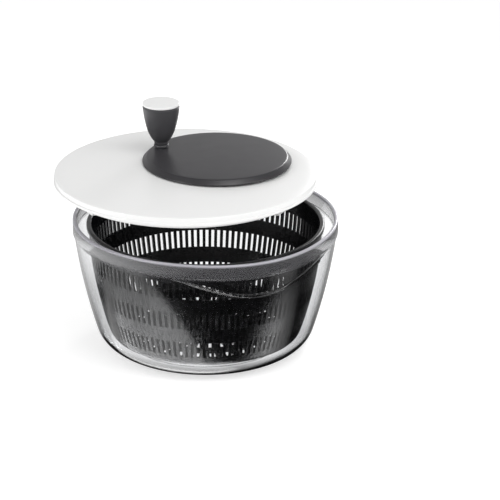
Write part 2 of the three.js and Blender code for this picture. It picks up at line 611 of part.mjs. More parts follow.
// A flanged bearing bush with its flange on top.
function bushGeometry(bore, outer, bottom, flangeBottom) {
  const flangeTop = flangeBottom + BUSH_FLANGE;
  const profile = [
    [bore, bottom],
    [outer, bottom],
    [outer, flangeBottom],
    [outer + BUSH_FLANGE_WIDTH, flangeBottom],
    [outer + BUSH_FLANGE_WIDTH, flangeTop],
    [bore, flangeTop],
    [bore, bottom],
  ];
  return turn(profile);
}

// ---------------------------------------------------------------- gears
// How far an involute flank has turned away from its start, at a radius.
function involute(radius, baseRadius) {
  const pressure = Math.acos(Math.min(1, baseRadius / Math.max(radius, baseRadius)));
  return Math.tan(pressure) - pressure;
}

// Outline of a toothed wheel. Widening makes each tooth thicker along the pitch circle.
function toothedShape(teeth, tipRadius, rootRadius, widening) {
  const pitchRadius = (teeth * GEAR_MODULE) / 2;
  const baseRadius = pitchRadius * Math.cos(PRESSURE_ANGLE * RAD);
  const halfTooth = Math.PI / (2 * teeth) + widening / (2 * pitchRadius) + involute(pitchRadius, baseRadius);
  const shape = new THREE.Shape();
  for (let tooth = 0; tooth < teeth; tooth += 1) {
    const middle = (tooth * 2 * Math.PI) / teeth;
    const radii = [rootRadius, pitchRadius, tipRadius];
    const half = radii.map((r) => halfTooth - involute(r, baseRadius));
    const flank = radii.map((r, i) => [r, middle - half[i]]);
    const back = radii.map((r, i) => [r, middle + half[i]]).reverse();
    for (const [r, angle] of [...flank, ...back]) {
      const [x, y] = [r * Math.cos(angle), r * Math.sin(angle)];
      if (shape.curves.length || shape.currentPoint.lengthSq()) shape.lineTo(x, y);
      else shape.moveTo(x, y);
    }
  }
  shape.closePath();
  return shape;
}

function pinionGeometry() {
  const pitchRadius = (PINION_TEETH * GEAR_MODULE) / 2;
  const tip = pitchRadius + PINION_ADDENDUM * GEAR_MODULE;
  const root = pitchRadius - DEDENDUM * GEAR_MODULE;
  const shape = toothedShape(PINION_TEETH, tip, root, -BACKLASH / 2);
  const bore = new THREE.Path();
  bore.absarc(0, 0, SPINDLE_RADIUS + GAP, 0, 2 * Math.PI, true);
  shape.holes.push(bore);
  return raise(shape, PINION_BOTTOM, PINION_BOTTOM + PINION_FACE);
}

function ringGearGeometry() {
  const pitchRadius = (RING_TEETH * GEAR_MODULE) / 2;
  const tip = pitchRadius - RING_ADDENDUM * GEAR_MODULE;
  const outline = new THREE.Shape();
  outline.absarc(0, 0, RING_OUTER_RADIUS, 0, 2 * Math.PI, false);
  outline.holes.push(toothedShape(RING_TEETH, RING_ROOT_RADIUS, tip, BACKLASH / 2));
  return raise(outline, RING_BOTTOM, RING_TOP);
}

// ---------------------------------------------------------------- drive
function spindleGeometry() {
  const profile = [
    [0, ARM_PLATE_BOTTOM + 1],
    [SPINDLE_RADIUS, ARM_PLATE_BOTTOM + 1],
    [SPINDLE_RADIUS, SPINDLE_TOP - 0.6],
    [SPINDLE_RADIUS - 0.6, SPINDLE_TOP],
    [0, SPINDLE_TOP],
  ];
  const threadHole = bar(SCREW_RADIUS + GAP, ARM_PLATE_BOTTOM, ARM_PLATE_TOP + 3);
  return carve(turn(profile), [], [threadHole]);
}

// The spider under the tray, whose arms push the basket's lugs.
function driveArmsGeometry() {
  const foot = ARM_HUB_RADIUS - 6;
  const ribEnd = ARM_REACH - 8;
  const arms = [];
  for (let i = 0; i < ARMS; i += 1) {
    const degrees = ARM_START + (i * 360) / ARMS;
    arms.push(spoke(foot, ARM_REACH, ARM_WIDTH, ARM_PLATE_BOTTOM, ARM_PLATE_TOP, degrees));
    arms.push(spoke(foot, ribEnd, ARM_RIB, ARM_PLATE_TOP - 0.5, ARM_PLATE_TOP + ARM_RIB, degrees));
  }
  const hole = bar(SPINDLE_RADIUS + GAP, ARM_PLATE_BOTTOM - 1, ARM_PLATE_TOP + 1);
  return carve(bar(ARM_HUB_RADIUS, ARM_PLATE_BOTTOM, ARM_PLATE_TOP, 32), arms, [hole]);
}

// ---------------------------------------------------------------- crank
function crankDiscGeometry() {
  const carrierBottom = RING_TOP - CARRIER_GRIP;
  const profile = [
    [0, HUB_BOTTOM],
    [HUB_RADIUS, HUB_BOTTOM],
    [HUB_RADIUS, DISC_UNDERSIDE],
    [CARRIER_INNER_RADIUS, DISC_UNDERSIDE],
    [CARRIER_INNER_RADIUS, carrierBottom],
    [CARRIER_INNER_RADIUS + CARRIER_WALL, carrierBottom],
    [CARRIER_INNER_RADIUS + CARRIER_WALL, DISC_UNDERSIDE],
    [TRAY_OUTER_RADIUS + DISC_CLEARANCE, DISC_UNDERSIDE],
    [DISC_RADIUS - DISC_WALL, DISC_SKIRT_BOTTOM],
    [DISC_RADIUS, DISC_SKIRT_BOTTOM],
    [DISC_RADIUS, DISC_SKIRT_BOTTOM + DISC_EDGE],
    [DISC_RADIUS - DISC_SLOPE * 0.7, DISC_TOP - DISC_ROUND],
    [DISC_RADIUS - DISC_SLOPE, DISC_TOP - DISC_ROUND * 0.25],
    [DISC_RADIUS - DISC_SLOPE - DISC_ROUND, DISC_TOP],
    [0, DISC_TOP],
  ];
  const axleHole = bar(AXLE_RADIUS + GAP, HUB_BOTTOM - 1, AXLE_TOP + GAP);
  const postHole = bar(POST_RADIUS + GAP, DISC_UNDERSIDE - 1, DISC_TOP + 1);
  return carve(turn(profile, ROUND), [], [axleHole, atOrbit(postHole, KNOB_ORBIT, KNOB_BEARING)]);
}

function crankAxleGeometry() {
  const shaft = bar(AXLE_RADIUS, AXLE_BOTTOM, AXLE_TOP);
  const threadHole = bar(SCREW_RADIUS + GAP, AXLE_BOTTOM - 1, AXLE_BOTTOM + 7);
  return carve(shaft, [], [threadHole]);
}

// ---------------------------------------------------------------- knob, with its zero on the disc's top
function knobPostGeometry() {
  const flangeTop = -DISC_WALL - GAP;
  const profile = [
    [0, flangeTop - POST_FLANGE],
    [POST_FLANGE_RADIUS, flangeTop - POST_FLANGE],
    [POST_FLANGE_RADIUS, flangeTop],
    [POST_RADIUS, flangeTop],
    [POST_RADIUS, POST_HEIGHT],
    [0, POST_HEIGHT],
  ];
  const threadHole = bar(SCREW_RADIUS - 0.2 + GAP, POST_HEIGHT - 8, POST_HEIGHT + 1);
  return carve(turn(profile), [], [threadHole]);
}

function knobBodyGeometry() {
  const foot = COLLAR_HEIGHT + 2 * GAP;
  const bore = SLEEVE_RADIUS + GAP;
  const top = CAP_SEAT - GAP;
  const side = new THREE.CubicBezierCurve(
    new THREE.Vector2(KNOB_FOOT_RADIUS, KNOB_FOOT),
    new THREE.Vector2(KNOB_FOOT_RADIUS + 5, KNOB_FOOT + 5),
    new THREE.Vector2(KNOB_TOP_RADIUS - 2.3, KNOB_HEIGHT * 0.43),
    new THREE.Vector2(KNOB_TOP_RADIUS, top - 0.6),
  );
  const profile = [
    [bore, foot],
    [KNOB_FOOT_RADIUS, foot],
    ...sampled(side, 8),
    [KNOB_TOP_RADIUS - 0.6, top],
    [KNOB_WELL_RADIUS, top],
    [KNOB_WELL_RADIUS, WELL_FLOOR],
    [bore, WELL_FLOOR],
    [bore, foot],
  ];
  return turn(profile, 28);
}

function knobCapGeometry() {
  const plugRadius = KNOB_WELL_RADIUS - GAP;
  const profile = [
    [0, CAP_SEAT - CAP_PLUG],
    [plugRadius, CAP_SEAT - CAP_PLUG],
    [plugRadius, CAP_SEAT],
    [KNOB_TOP_RADIUS, CAP_SEAT],
    [KNOB_TOP_RADIUS, KNOB_HEIGHT - 0.8],
    [KNOB_TOP_RADIUS - 0.8, KNOB_HEIGHT],
    [KNOB_TOP_RADIUS * 0.5, KNOB_HEIGHT + CAP_CROWN * 0.75],
    [0, KNOB_HEIGHT + CAP_CROWN],
  ];
  return turn(profile, 28);
}

// ---------------------------------------------------------------- assembly
function bowlGroup() {
  const group = new THREE.Group();
  group.add(piece("bowl", bowlGeometry(), clear()));
  group.add(piece("pivot_pin", pivotPinGeometry(), steel()));
  group.add(piece("basket", basketGeometry(), plastic(BLACK, 0.4)));
  group.add(piece("basket_bush", basketBushGeometry(), plastic(GREY, 0.5)));
  return group;
}

function knobGroup() {
  const group = new THREE.Group();
  const sleeve = tube(POST_RADIUS + RUNNING, SLEEVE_RADIUS, COLLAR_HEIGHT + 2 * GAP, WELL_FLOOR - GAP);
  const washer = tube(SCREW_RADIUS + GAP, KNOB_WASHER_RADIUS, 0, WASHER, 16);
  const screw = screwGeometry(SCREW_RADIUS - 0.2, SCREW_HEAD_RADIUS, SCREW_HEAD, 7);
  screw.rotateX(Math.PI);
  const collar = tube(POST_RADIUS + GAP, COLLAR_RADIUS, GAP, COLLAR_HEIGHT);
  group.add(piece("knob_post", knobPostGeometry(), steel()));
  group.add(piece("knob_collar", collar, plastic(ANTHRACITE, 0.3)));
  group.add(piece("knob_sleeve", sleeve, plastic(GREY, 0.5)));
  group.add(piece("knob_body", knobBodyGeometry(), plastic(ANTHRACITE, 0.35)));
  group.add(piece("knob_washer", washer, steel()));
  group.add(piece("knob_screw", screw, steel()));
  group.add(piece("knob_cap", knobCapGeometry(), plastic(WHITE, 0.25)));
  group.getObjectByName("knob_washer").position.z = POST_HEIGHT + GAP;
  group.getObjectByName("knob_screw").position.z = POST_HEIGHT + WASHER + 2 * GAP;
  const angle = KNOB_BEARING * RAD;
  group.position.set(KNOB_ORBIT * Math.cos(angle), KNOB_ORBIT * Math.sin(angle), DISC_TOP);
  return group;
}

function crankGroup() {
  const group = new THREE.Group();
  const bushBottom = COUNTERBORE_TOP + GAP;
  const bush = bushGeometry(AXLE_RADIUS + RUNNING, CRANK_BUSH_RADIUS, bushBottom, CRANK_BOSS_TOP + GAP);
  const ring = piece("ring_gear", ringGearGeometry(), plastic(WHITE, 0.5));
  const washer = piece("crank_washer", tube(SCREW_RADIUS + GAP, WASHER_RADIUS, -WASHER, 0, 16), steel());
  const screwShape = screwGeometry(SCREW_RADIUS, SCREW_HEAD_RADIUS + 1, SCREW_HEAD, 6);
  const screw = piece("crank_screw", screwShape, steel());
  ring.rotation.z = MESH_ANGLE * RAD;
  washer.position.z = AXLE_BOTTOM - GAP;
  screw.position.z = AXLE_BOTTOM - WASHER - 2 * GAP;
  group.add(piece("gear_tray", gearTrayGeometry(), plastic(WHITE, 0.4)));
  group.add(piece("crank_disc", crankDiscGeometry(), plastic(ANTHRACITE, 0.4)));
  group.add(piece("crank_axle", crankAxleGeometry(), steel()));
  group.add(piece("crank_bush", bush, plastic(GREY, 0.5)));
  group.add(ring, washer, screw);
  trayScrewAngles().forEach((degrees, i) => {
    const shank = TRAY_FLANGE + GAP + SCREW_BITE;
    const geometry = screwGeometry(SCREW_RADIUS, SCREW_HEAD_RADIUS, SCREW_HEAD, shank);
    const one = piece(`tray_screw_${i + 1}`, geometry, steel());
    const angle = degrees * RAD;
    const under = TRAY_FLANGE_TOP - TRAY_FLANGE - GAP;
    one.position.set(TRAY_SCREW_ORBIT * Math.cos(angle), TRAY_SCREW_ORBIT * Math.sin(angle), under);
    group.add(one);
  });
  group.add(knobGroup());
  const bearing = CRANK_BEARING * RAD;
  group.position.set(GEAR_OFFSET * Math.cos(bearing), GEAR_OFFSET * Math.sin(bearing), 0);
  return group;
}

function lidGroup() {
  const group = new THREE.Group();
  const bore = SPINDLE_RADIUS + RUNNING;
  const bush = bushGeometry(bore, SPINDLE_BUSH_RADIUS, SPINDLE_BOSS_BOTTOM, TRAY_FLOOR_TOP + GAP);
  const pinion = piece("pinion", pinionGeometry(), plastic(GREY, 0.45));
  const pinionTop = PINION_BOTTOM + PINION_FACE;
  const clipRadius = SPINDLE_RADIUS + CLIP_OVERHANG;
  const clipRing = tube(SPINDLE_RADIUS + GAP, clipRadius, pinionTop + GAP, pinionTop + GAP + CLIP);
  const clip = piece("pinion_clip", clipRing, steel());
  const washerTop = SPINDLE_BOSS_BOTTOM - GAP;
  const washerRadius = SPINDLE_RADIUS + SPINDLE_WASHER_OVERHANG;
  const washerRing = tube(SPINDLE_RADIUS + GAP, washerRadius, washerTop - WASHER, washerTop);
  const washer = piece("spindle_washer", washerRing, steel());
  const screwShape = screwGeometry(SCREW_RADIUS, SCREW_HEAD_RADIUS + 3, SCREW_HEAD, SCREW_BITE);
  const screw = piece("arms_screw", screwShape, steel());
  pinion.rotation.z = MESH_ANGLE * RAD;
  screw.position.z = ARM_PLATE_BOTTOM - GAP;
  group.add(piece("lid", lidGeometry(), plastic(WHITE, 0.25)));
  group.add(piece("spindle_bush", bush, plastic(GREY, 0.5)));
  group.add(piece("drive_spindle", spindleGeometry(), steel()));
  group.add(piece("drive_arms", driveArmsGeometry(), plastic(WHITE, 0.45)));
  group.add(pinion, clip, washer, screw);
  group.add(crankGroup());
  group.position.set(LID_SHIFT, 0, LID_SEAT + LID_LIFT);
  return group;
}

const spinner = new THREE.Group();
spinner.add(bowlGroup(), lidGroup());
export default spinner;
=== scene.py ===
"""The looks of a hand-cranked salad spinner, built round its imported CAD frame.

A clear bowl with a pouring spout, a black slotted basket, and a white lid that carries a geared crank disc
and an upright knob. Lengths are metres. Z is up, the user stands at -Y, and the middle of the bowl's base is
the origin.
"""

import logging
import math
from collections.abc import Callable, Iterable, Sequence
from dataclasses import dataclass, field
from enum import Enum

import bmesh
import bpy
from mathutils import Matrix, Vector
from mathutils.geometry import interpolate_bezier


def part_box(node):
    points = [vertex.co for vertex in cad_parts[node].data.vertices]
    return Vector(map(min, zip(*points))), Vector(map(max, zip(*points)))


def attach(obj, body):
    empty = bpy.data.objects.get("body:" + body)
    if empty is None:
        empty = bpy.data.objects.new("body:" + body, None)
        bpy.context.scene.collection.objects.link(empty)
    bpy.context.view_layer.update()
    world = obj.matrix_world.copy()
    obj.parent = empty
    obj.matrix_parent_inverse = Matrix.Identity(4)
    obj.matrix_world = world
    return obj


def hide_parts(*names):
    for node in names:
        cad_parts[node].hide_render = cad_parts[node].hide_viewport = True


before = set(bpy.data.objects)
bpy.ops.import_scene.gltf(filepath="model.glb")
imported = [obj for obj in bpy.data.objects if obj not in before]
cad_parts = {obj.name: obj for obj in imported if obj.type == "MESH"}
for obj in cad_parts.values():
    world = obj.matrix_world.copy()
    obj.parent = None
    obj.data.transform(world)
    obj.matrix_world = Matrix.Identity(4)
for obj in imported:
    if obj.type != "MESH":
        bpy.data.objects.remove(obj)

MM = 0.001
TURN = math.tau
SHARP_ANGLE = math.radians(32)
GAP = 0.3 * MM
OVERSHOOT = 10 * MM
LOG = logging.getLogger("salad_spinner")

Point = tuple[float, float]
Outline = list[Point]
Colour = tuple[float, float, float]


# ---- names of the frame's bodies and slots
class Body(Enum):
    """The moving bodies of the frame."""

    BOWL = "bowl_body"
    BASKET = "basket_body"
    LID = "lid_body"
    DRIVE = "drive_body"
    CRANK = "crank_body"
    KNOB = "knob"


class Slot(Enum):
    """The material slots of the record."""

    CLEAR = "clear_plastic"
    BLACK = "black_plastic"
    WHITE = "white_plastic"
    WHITE_SATIN = "white_satin"
    ANTHRACITE = "anthracite_plastic"
    GREY = "grey_plastic"
    STEEL = "steel"


class Grain(Enum):
    """How fine the texture of a moulding tool is, as noise cells to the metre."""

    POLISHED = 260.0
    SATIN = 1500.0
    SPARK = 2600.0


# ---- shader building
class Wire:
    """A shader socket that can be reckoned with like a number."""

    def __init__(self, graph: "Graph", socket: bpy.types.NodeSocket) -> None:
        """Wraps a socket.

        Args:
            graph: the graph that new nodes are added to.
            socket: the output socket that this wire carries.
        """
        self.graph = graph
        self.socket = socket

    def _maths(self, operation: str, *values: "Wire | float") -> "Wire":
        """Adds a Math node.

        Args:
            operation: the node's operation.
            values: its inputs in order.

        Returns:
            The result.
        """
        return self.graph.node("ShaderNodeMath", {"operation": operation}, dict(enumerate(values)))

    def __add__(self, other: "Wire | float") -> "Wire":
        """This value plus another."""
        return self._maths("ADD", self, other)

    def __radd__(self, other: float) -> "Wire":
        """A number plus this value."""
        return self._maths("ADD", other, self)

    def __sub__(self, other: "Wire | float") -> "Wire":
        """This value less another."""
        return self._maths("SUBTRACT", self, other)

    def __rsub__(self, other: float) -> "Wire":
        """A number less this value."""
        return self._maths("SUBTRACT", other, self)

    def __mul__(self, other: "Wire | float") -> "Wire":
        """This value times another."""
        return self._maths("MULTIPLY", self, other)

    def limited(self) -> "Wire":
        """This value held between 0 and 1."""
        return self._maths("MAXIMUM", self._maths("MINIMUM", self, 1.0), 0.0)


class Graph:
    """The node graph of one material or world."""

    def __init__(self, tree: bpy.types.NodeTree) -> None:
        """Starts an empty graph.

        Args:
            tree: the tree to fill.
        """
        self.tree = tree
        tree.nodes.clear()

    def node(
        self, kind: str, settings: dict | None = None, inputs: dict | None = None, output: int | str = 0
    ) -> Wire:
        """Adds one node.

        Args:
            kind: the node's type.
            settings: its properties, set first. A list under "stops" fills a colour ramp.
            inputs: values or wires by socket name or number.
            output: the output to return.

        Returns:
            A wire on that output.
        """
        made = self.tree.nodes.new(kind)
        for name, value in (settings or {}).items():
            if name == "stops":
                self._fill_ramp(made, value)
            else:
                setattr(made, name, value)
        for name, value in (inputs or {}).items():
            if isinstance(value, Wire):
                self.tree.links.new(value.socket, made.inputs[name])
            else:
                made.inputs[name].default_value = value
        return Wire(self, made.outputs[output] if made.outputs else None)

    @staticmethod
    def _fill_ramp(node: bpy.types.Node, stops: Sequence[Point]) -> None:
        """Sets a ramp's stops to greys.

        Args:
            node: the ramp node.
            stops: pairs of place and grey value.
        """
        ramp = node.color_ramp
        while len(ramp.elements) < len(stops):
            ramp.elements.new(1.0)
        for element, (place, grey) in zip(ramp.elements, stops):
            element.position = place
            element.color = (grey, grey, grey, 1.0)

    def object_place(self, stretch: Sequence[float] = (1, 1, 1)) -> Wire:
        """Object coordinates, stretched.

        Args:
            stretch: factor along each axis.

        Returns:
            A wire of the coordinates.
        """
        place = self.node("ShaderNodeTexCoord", output="Object")
        return self.node("ShaderNodeMapping", {}, {"Vector": place, "Scale": tuple(stretch)})

    def noise(self, place: Wire, scale: float, detail: float = 2.0) -> Wire:
        """Noise from 0 to 1.

        Args:
            place: where it is looked up.
            scale: cells to the metre.
            detail: octaves.

        Returns:
            A wire of the noise.
        """
        return self.node("ShaderNodeTexNoise", {}, {"Vector": place, "Scale": scale, "Detail": detail})

    def blend(self, share: Wire, low: Sequence[float], high: Sequence[float]) -> Wire:
        """Mixes two colours.

        Args:
            share: 0 for the first colour, 1 for the second.
            low: first colour.
            high: second colour.

        Returns:
            A wire of the colour.
        """
        settings = {"data_type": "RGBA"}
        inputs = {0: share, 6: (*low, 1.0), 7: (*high, 1.0)}
        return self.node("ShaderNodeMix", settings, inputs, output=2)

    def bump(self, height: Wire, depth: float, strength: float = 1.0) -> Wire:
        """A bumped normal.

        Args:
            height: relief from 0 to 1.
            depth: its depth in metres.
            strength: how much of it shows.

        Returns:
            A wire of the normal.
        """
        return self.node("ShaderNodeBump", {}, {"Strength": strength, "Distance": depth, "Height": height})


def new_material(name: str, paint: Callable[[Graph], Wire]) -> bpy.types.Material:
    """Makes a material.

    Args:
        name: the material's name.
        paint: fills a graph and gives the surface.

    Returns:
        The material.
    """
    material = bpy.data.materials.new(name)
    material.use_nodes = True
    graph = Graph(material.node_tree)
    graph.node("ShaderNodeOutputMaterial", {}, {"Surface": paint(graph)})
    return material


# ---- finishes
@dataclass(frozen=True)
class MouldedPlastic:
    """An opaque moulding with the grain of its tool and faint flow marks."""

    name: str
    slot: Slot
    colour: Colour
    roughness: float
    grain: Grain
    grain_depth: float = 0.006 * MM
    shade_spread: float = 0.06
    coat: float = 0.0

    def paint(self, graph: Graph) -> Wire:
        """Makes the shader.

        Args:
            graph: the material's graph.

        Returns:
            The surface.
        """
        place = graph.object_place()
        flow = graph.noise(place, 14.0, 3.0)
        grain = graph.noise(place, self.grain.value, 1.0)
        smear = graph.noise(graph.object_place((1, 1, 0.25)), 60.0, 2.0)
        darker = tuple(c * (1 - self.shade_spread) for c in self.colour)
        lighter = tuple(min(1.0, c * (1 + self.shade_spread)) for c in self.colour)
        inputs = {
            "Base Color": graph.blend(flow, darker, lighter),
            "Roughness": (self.roughness + (smear - 0.5) * (0.22 * self.roughness)).limited(),
            "Normal": graph.bump(grain, self.grain_depth),
            "IOR": 1.49,
            "Coat Weight": self.coat,
            "Coat Roughness": 0.08,
        }
        return graph.node("ShaderNodeBsdfPrincipled", {}, inputs)


@dataclass(frozen=True)
class ClearPlastic:
    """Clear moulded plastic, slightly wavy as thick mouldings are, with a frosted edge along its rim,
    coloured with painted shade on the band and a painted highlight on the rim's top.
    """

    name: str = "clear_bowl_plastic"
    slot: Slot = Slot.CLEAR
    tint: Colour = (0.962, 0.966, 0.974)
    ior: float = 1.5
    wave_depth: float = 0.25 * MM
    frosted_roughness: float = 0.3
    frosted_bump: float = 0.0005 * MM
    frost_start: float = 116 * MM
    frost_end: float = 133 * MM
    # The band's dark colour is painted shade, standing in for darker surroundings bent through the thick
    # band; its frost roughness is real.
    band_painted_shade: Colour = (0.11, 0.109, 0.116)
    # The rim's lighter colour is a painted highlight on the top of the rim.
    rim_painted_highlight: Colour = (0.5, 0.49, 0.54)
    frost_and_painted_shade_stops: tuple[Point, ...] = ((0.0, 0.0), (0.12, 0.26), (0.82, 0.38), (0.9, 0.66), (1.0, 0.8))
    rim_highlight_stops: tuple[Point, ...] = ((0.86, 0.0), (0.97, 1.0))

    def clear_inputs(self, graph: Graph) -> dict:
        """The clear shader's inputs.

        Args:
            graph: the material's graph.

        Returns:
            Values and wires by socket name.
        """
        place = graph.object_place((1, 1, 0.45))
        waves = graph.noise(place, 22.0, 1.0)
        wear = graph.noise(graph.object_place(), 90.0, 3.0)
        return {
            "Base Color": graph.blend(wear, self.tint, tuple(c + 0.02 for c in self.tint)),
            "Roughness": 0.01 + wear * 0.02,
            "Normal": graph.bump(waves, self.wave_depth),
            "IOR": self.ior,
            "Transmission Weight": 1.0,
        }

    def paint(self, graph: Graph) -> Wire:
        """Mixes the clear plastic with its frosted edge, which carries painted shade on the band and a
        painted highlight on the rim's top.

        Args:
            graph: the material's graph.

        Returns:
            The surface.
        """
        clear = graph.node("ShaderNodeBsdfPrincipled", {}, self.clear_inputs(graph))
        level = graph.node("ShaderNodeSeparateXYZ", {}, {0: graph.object_place()}, output="Z")
        ends = {0: level, 1: self.frost_start, 2: self.frost_end, 3: 0.0, 4: 1.0}
        rise = graph.node("ShaderNodeMapRange", {}, ends)
        # Where the painted highlight on the rim's top takes over from the band's painted shade.
        rim_highlight_share = graph.node("ShaderNodeValToRGB", {"stops": self.rim_highlight_stops}, {0: rise})
        speck = graph.noise(graph.object_place(), 900.0, 2.0)
        frost_with_painted_shade_inputs = {
            "Base Color": graph.blend(rim_highlight_share, self.band_painted_shade, self.rim_painted_highlight),
            "Roughness": self.frosted_roughness,
            "Normal": graph.bump(speck, self.frosted_bump),
        }
        frost_with_painted_shade = graph.node("ShaderNodeBsdfPrincipled", {}, frost_with_painted_shade_inputs)
        # How much of the frosted shader shows at each height: real frost roughness, plus the painted shade
        # and painted highlight in its colour.
        share = graph.node("ShaderNodeValToRGB", {"stops": self.frost_and_painted_shade_stops}, {0: rise})
        return graph.node("ShaderNodeMixShader", {}, {0: share, 1: clear, 2: frost_with_painted_shade})


@dataclass(frozen=True)
class TurnedSteel:
    """Bright steel with fine turning rings."""

    name: str = "turned_steel"
    slot: Slot = Slot.STEEL
    colour: Colour = (0.62, 0.63, 0.65)
    roughness: float = 0.26

    def paint(self, graph: Graph) -> Wire:
        """Makes the shader.

        Args:
            graph: the material's graph.

        Returns:
            The surface.
        """
        rings = graph.noise(graph.object_place((0.05, 0.05, 1)), 3000.0, 2.0)
        stain = graph.noise(graph.object_place(), 120.0, 3.0)
        darker = tuple(c * 0.86 for c in self.colour)
        inputs = {
            "Base Color": graph.blend(stain, darker, self.colour),
            "Metallic": 1.0,
            "Roughness": (self.roughness + (rings - 0.5) * 0.18).limited(),
            "Normal": graph.bump(rings, 0.01 * MM),
        }
        return graph.node("ShaderNodeBsdfPrincipled", {}, inputs)


Finish = MouldedPlastic | ClearPlastic | TurnedSteel

CLEAR_PLASTIC = ClearPlastic()
STEEL = TurnedSteel()
BASKET_BLACK = MouldedPlastic(
    "basket_black", Slot.BLACK, (0.006, 0.006, 0.007), 0.22, Grain.SATIN,
    grain_depth=0.001 * MM, shade_spread=0.15,
)
LID_WHITE = MouldedPlastic(
    "lid_white", Slot.WHITE, (0.8, 0.8, 0.795), 0.3, Grain.POLISHED,
    grain_depth=0.012 * MM, shade_spread=0.008, coat=0.1,
)
TRAY_WHITE = MouldedPlastic(
    "tray_white", Slot.WHITE_SATIN, (0.74, 0.74, 0.73), 0.42, Grain.SATIN, shade_spread=0.02
)
ANTHRACITE = MouldedPlastic(
    "crank_anthracite", Slot.ANTHRACITE, (0.032, 0.031, 0.034), 0.34, Grain.SPARK, grain_depth=0.008 * MM
)
KNOB_ANTHRACITE = MouldedPlastic("knob_anthracite", Slot.ANTHRACITE, (0.05, 0.049, 0.053), 0.36, Grain.SPARK)
BUSH_GREY = MouldedPlastic("bush_grey", Slot.GREY, (0.32, 0.33, 0.34), 0.4, Grain.SATIN)


# ---- shaping
def arc_corner(before: Point, corner: Point, after: Point, radius: float, steps: int = 5) -> Outline:
    """Rounds one corner of an outline.

    Args:
        before: the point before the corner.
        corner: the corner.
        after: the point after it.
        radius: the fillet's radius, cut down where the sides are too short.
        steps: pieces of the arc.

    Returns:
        The points of the arc, or the corner alone where there is nothing to round.
    """
    here = Vector(corner)
    back, forth = Vector(before) - here, Vector(after) - here
    room = 0.49 * min(back.length, forth.length)
    half = back.angle(forth) / 2 if back.length and forth.length else math.pi / 2
    if radius <= 0 or half > math.radians(88):
        return [corner]
    reach = min(radius / math.tan(half), room)
    radius = reach * math.tan(half)
    back.normalize()
    forth.normalize()
    centre = here + (back + forth).normalized() * (radius / math.sin(half))
    start, end = here + back * reach - centre, here + forth * reach - centre
    sweep = start.angle_signed(end)
    turned = (Matrix.Rotation(-sweep * i / steps, 2) @ start + centre for i in range(steps + 1))
    return [(p.x, p.y) for p in turned]


def rounded(corners: Sequence[tuple[float, float, float]], closed: bool = False) -> Outline:
    """Turns corners with fillets into an outline.

    Args:
        corners: radius and height of each corner, and its fillet in millimetres.
        closed: whether the outline runs round to its start.

    Returns:
        The outline's points.
    """
    outline: Outline = []
    for i, (r, z, fillet) in enumerate(corners):
        if not closed and i in (0, len(corners) - 1):
            outline.append((r, z))
            continue
        before, after = corners[i - 1], corners[(i + 1) % len(corners)]
        outline += arc_corner(before[:2], (r, z), after[:2], fillet * MM)
    return outline


def curve_points(start: Point, pull: Point, draw: Point, end: Point, steps: int) -> Outline:
    """Points of a cubic curve.

    Args:
        start: first point.
        pull: first handle.
        draw: second handle.
        end: last point.
        steps: number of points.

    Returns:
        The points.
    """
    knots = [Vector((*p, 0.0)) for p in (start, pull, draw, end)]
    return [(p.x, p.y) for p in interpolate_bezier(*knots, steps)]


def spun(outline: Outline, steps: int, closed: bool = False) -> bmesh.types.BMesh:
    """Spins an outline about Z.

    Args:
        outline: radius and height of each point. An open outline starts and ends on the axis.
        steps: facets round the turn.
        closed: whether the last point joins the first.

    Returns:
        The turned mesh, with its doubles merged and its faces outwards.
    """
    mesh = bmesh.new()
    verts = [mesh.verts.new((r, 0.0, z)) for r, z in outline]
    pairs = list(zip(verts, verts[1:])) + ([(verts[-1], verts[0])] if closed else [])
    edges = [mesh.edges.new(pair) for pair in pairs]
    bmesh.ops.spin(
        mesh, geom=verts + edges, cent=(0, 0, 0), axis=(0, 0, 1), angle=TURN, steps=steps, use_merge=True
    )
    bmesh.ops.remove_doubles(mesh, verts=mesh.verts, dist=1e-6)
    bmesh.ops.recalc_face_normals(mesh, faces=mesh.faces)
    return mesh


def moved(mesh: bmesh.types.BMesh, place: Vector) -> bmesh.types.BMesh:
    """Moves a whole mesh.

    Args:
        mesh: the mesh.
        place: how far.

    Returns:
        The same mesh.
    """
    bmesh.ops.translate(mesh, verts=mesh.verts, vec=place)
    return mesh


def block(low: Sequence[float], high: Sequence[float], bevel: float, steps: int = 2) -> bmesh.types.BMesh:
    """A block with softened edges.

    Args:
        low: lowest corner.
        high: highest corner.
        bevel: width of the bevel on its edges.
        steps: segments of the bevel.

    Returns:
        The mesh.
    """
    mesh = bmesh.new()
    bmesh.ops.create_cube(mesh, size=1.0)
    size = Vector(high) - Vector(low)
    bmesh.ops.scale(mesh, verts=mesh.verts, vec=size)
    moved(mesh, (Vector(high) + Vector(low)) / 2)
    if bevel > 0:
        bmesh.ops.bevel(
            mesh, geom=mesh.edges, offset=bevel, segments=steps, profile=0.5, affect="EDGES", material=-1
        )
    return mesh


def to_object(mesh: bmesh.types.BMesh, name: str, sharp: float = SHARP_ANGLE) -> bpy.types.Object:
    """Finishes a mesh as an object at the origin, smooth but for its sharp edges.

    Args:
        mesh: the mesh, which is freed.
        name: the object's name.
        sharp: angle above which an edge stays sharp.

    Returns:
        The object, linked to the scene.
    """
    for face in mesh.faces:
        face.smooth = True
    for edge in mesh.edges:
        edge.smooth = len(edge.link_faces) == 2 and edge.calc_face_angle(0.0) < sharp
    data = bpy.data.meshes.new(name)
    mesh.to_mesh(data)
    mesh.free()
    made = bpy.data.objects.new(name, data)
    bpy.context.scene.collection.objects.link(made)
    return made


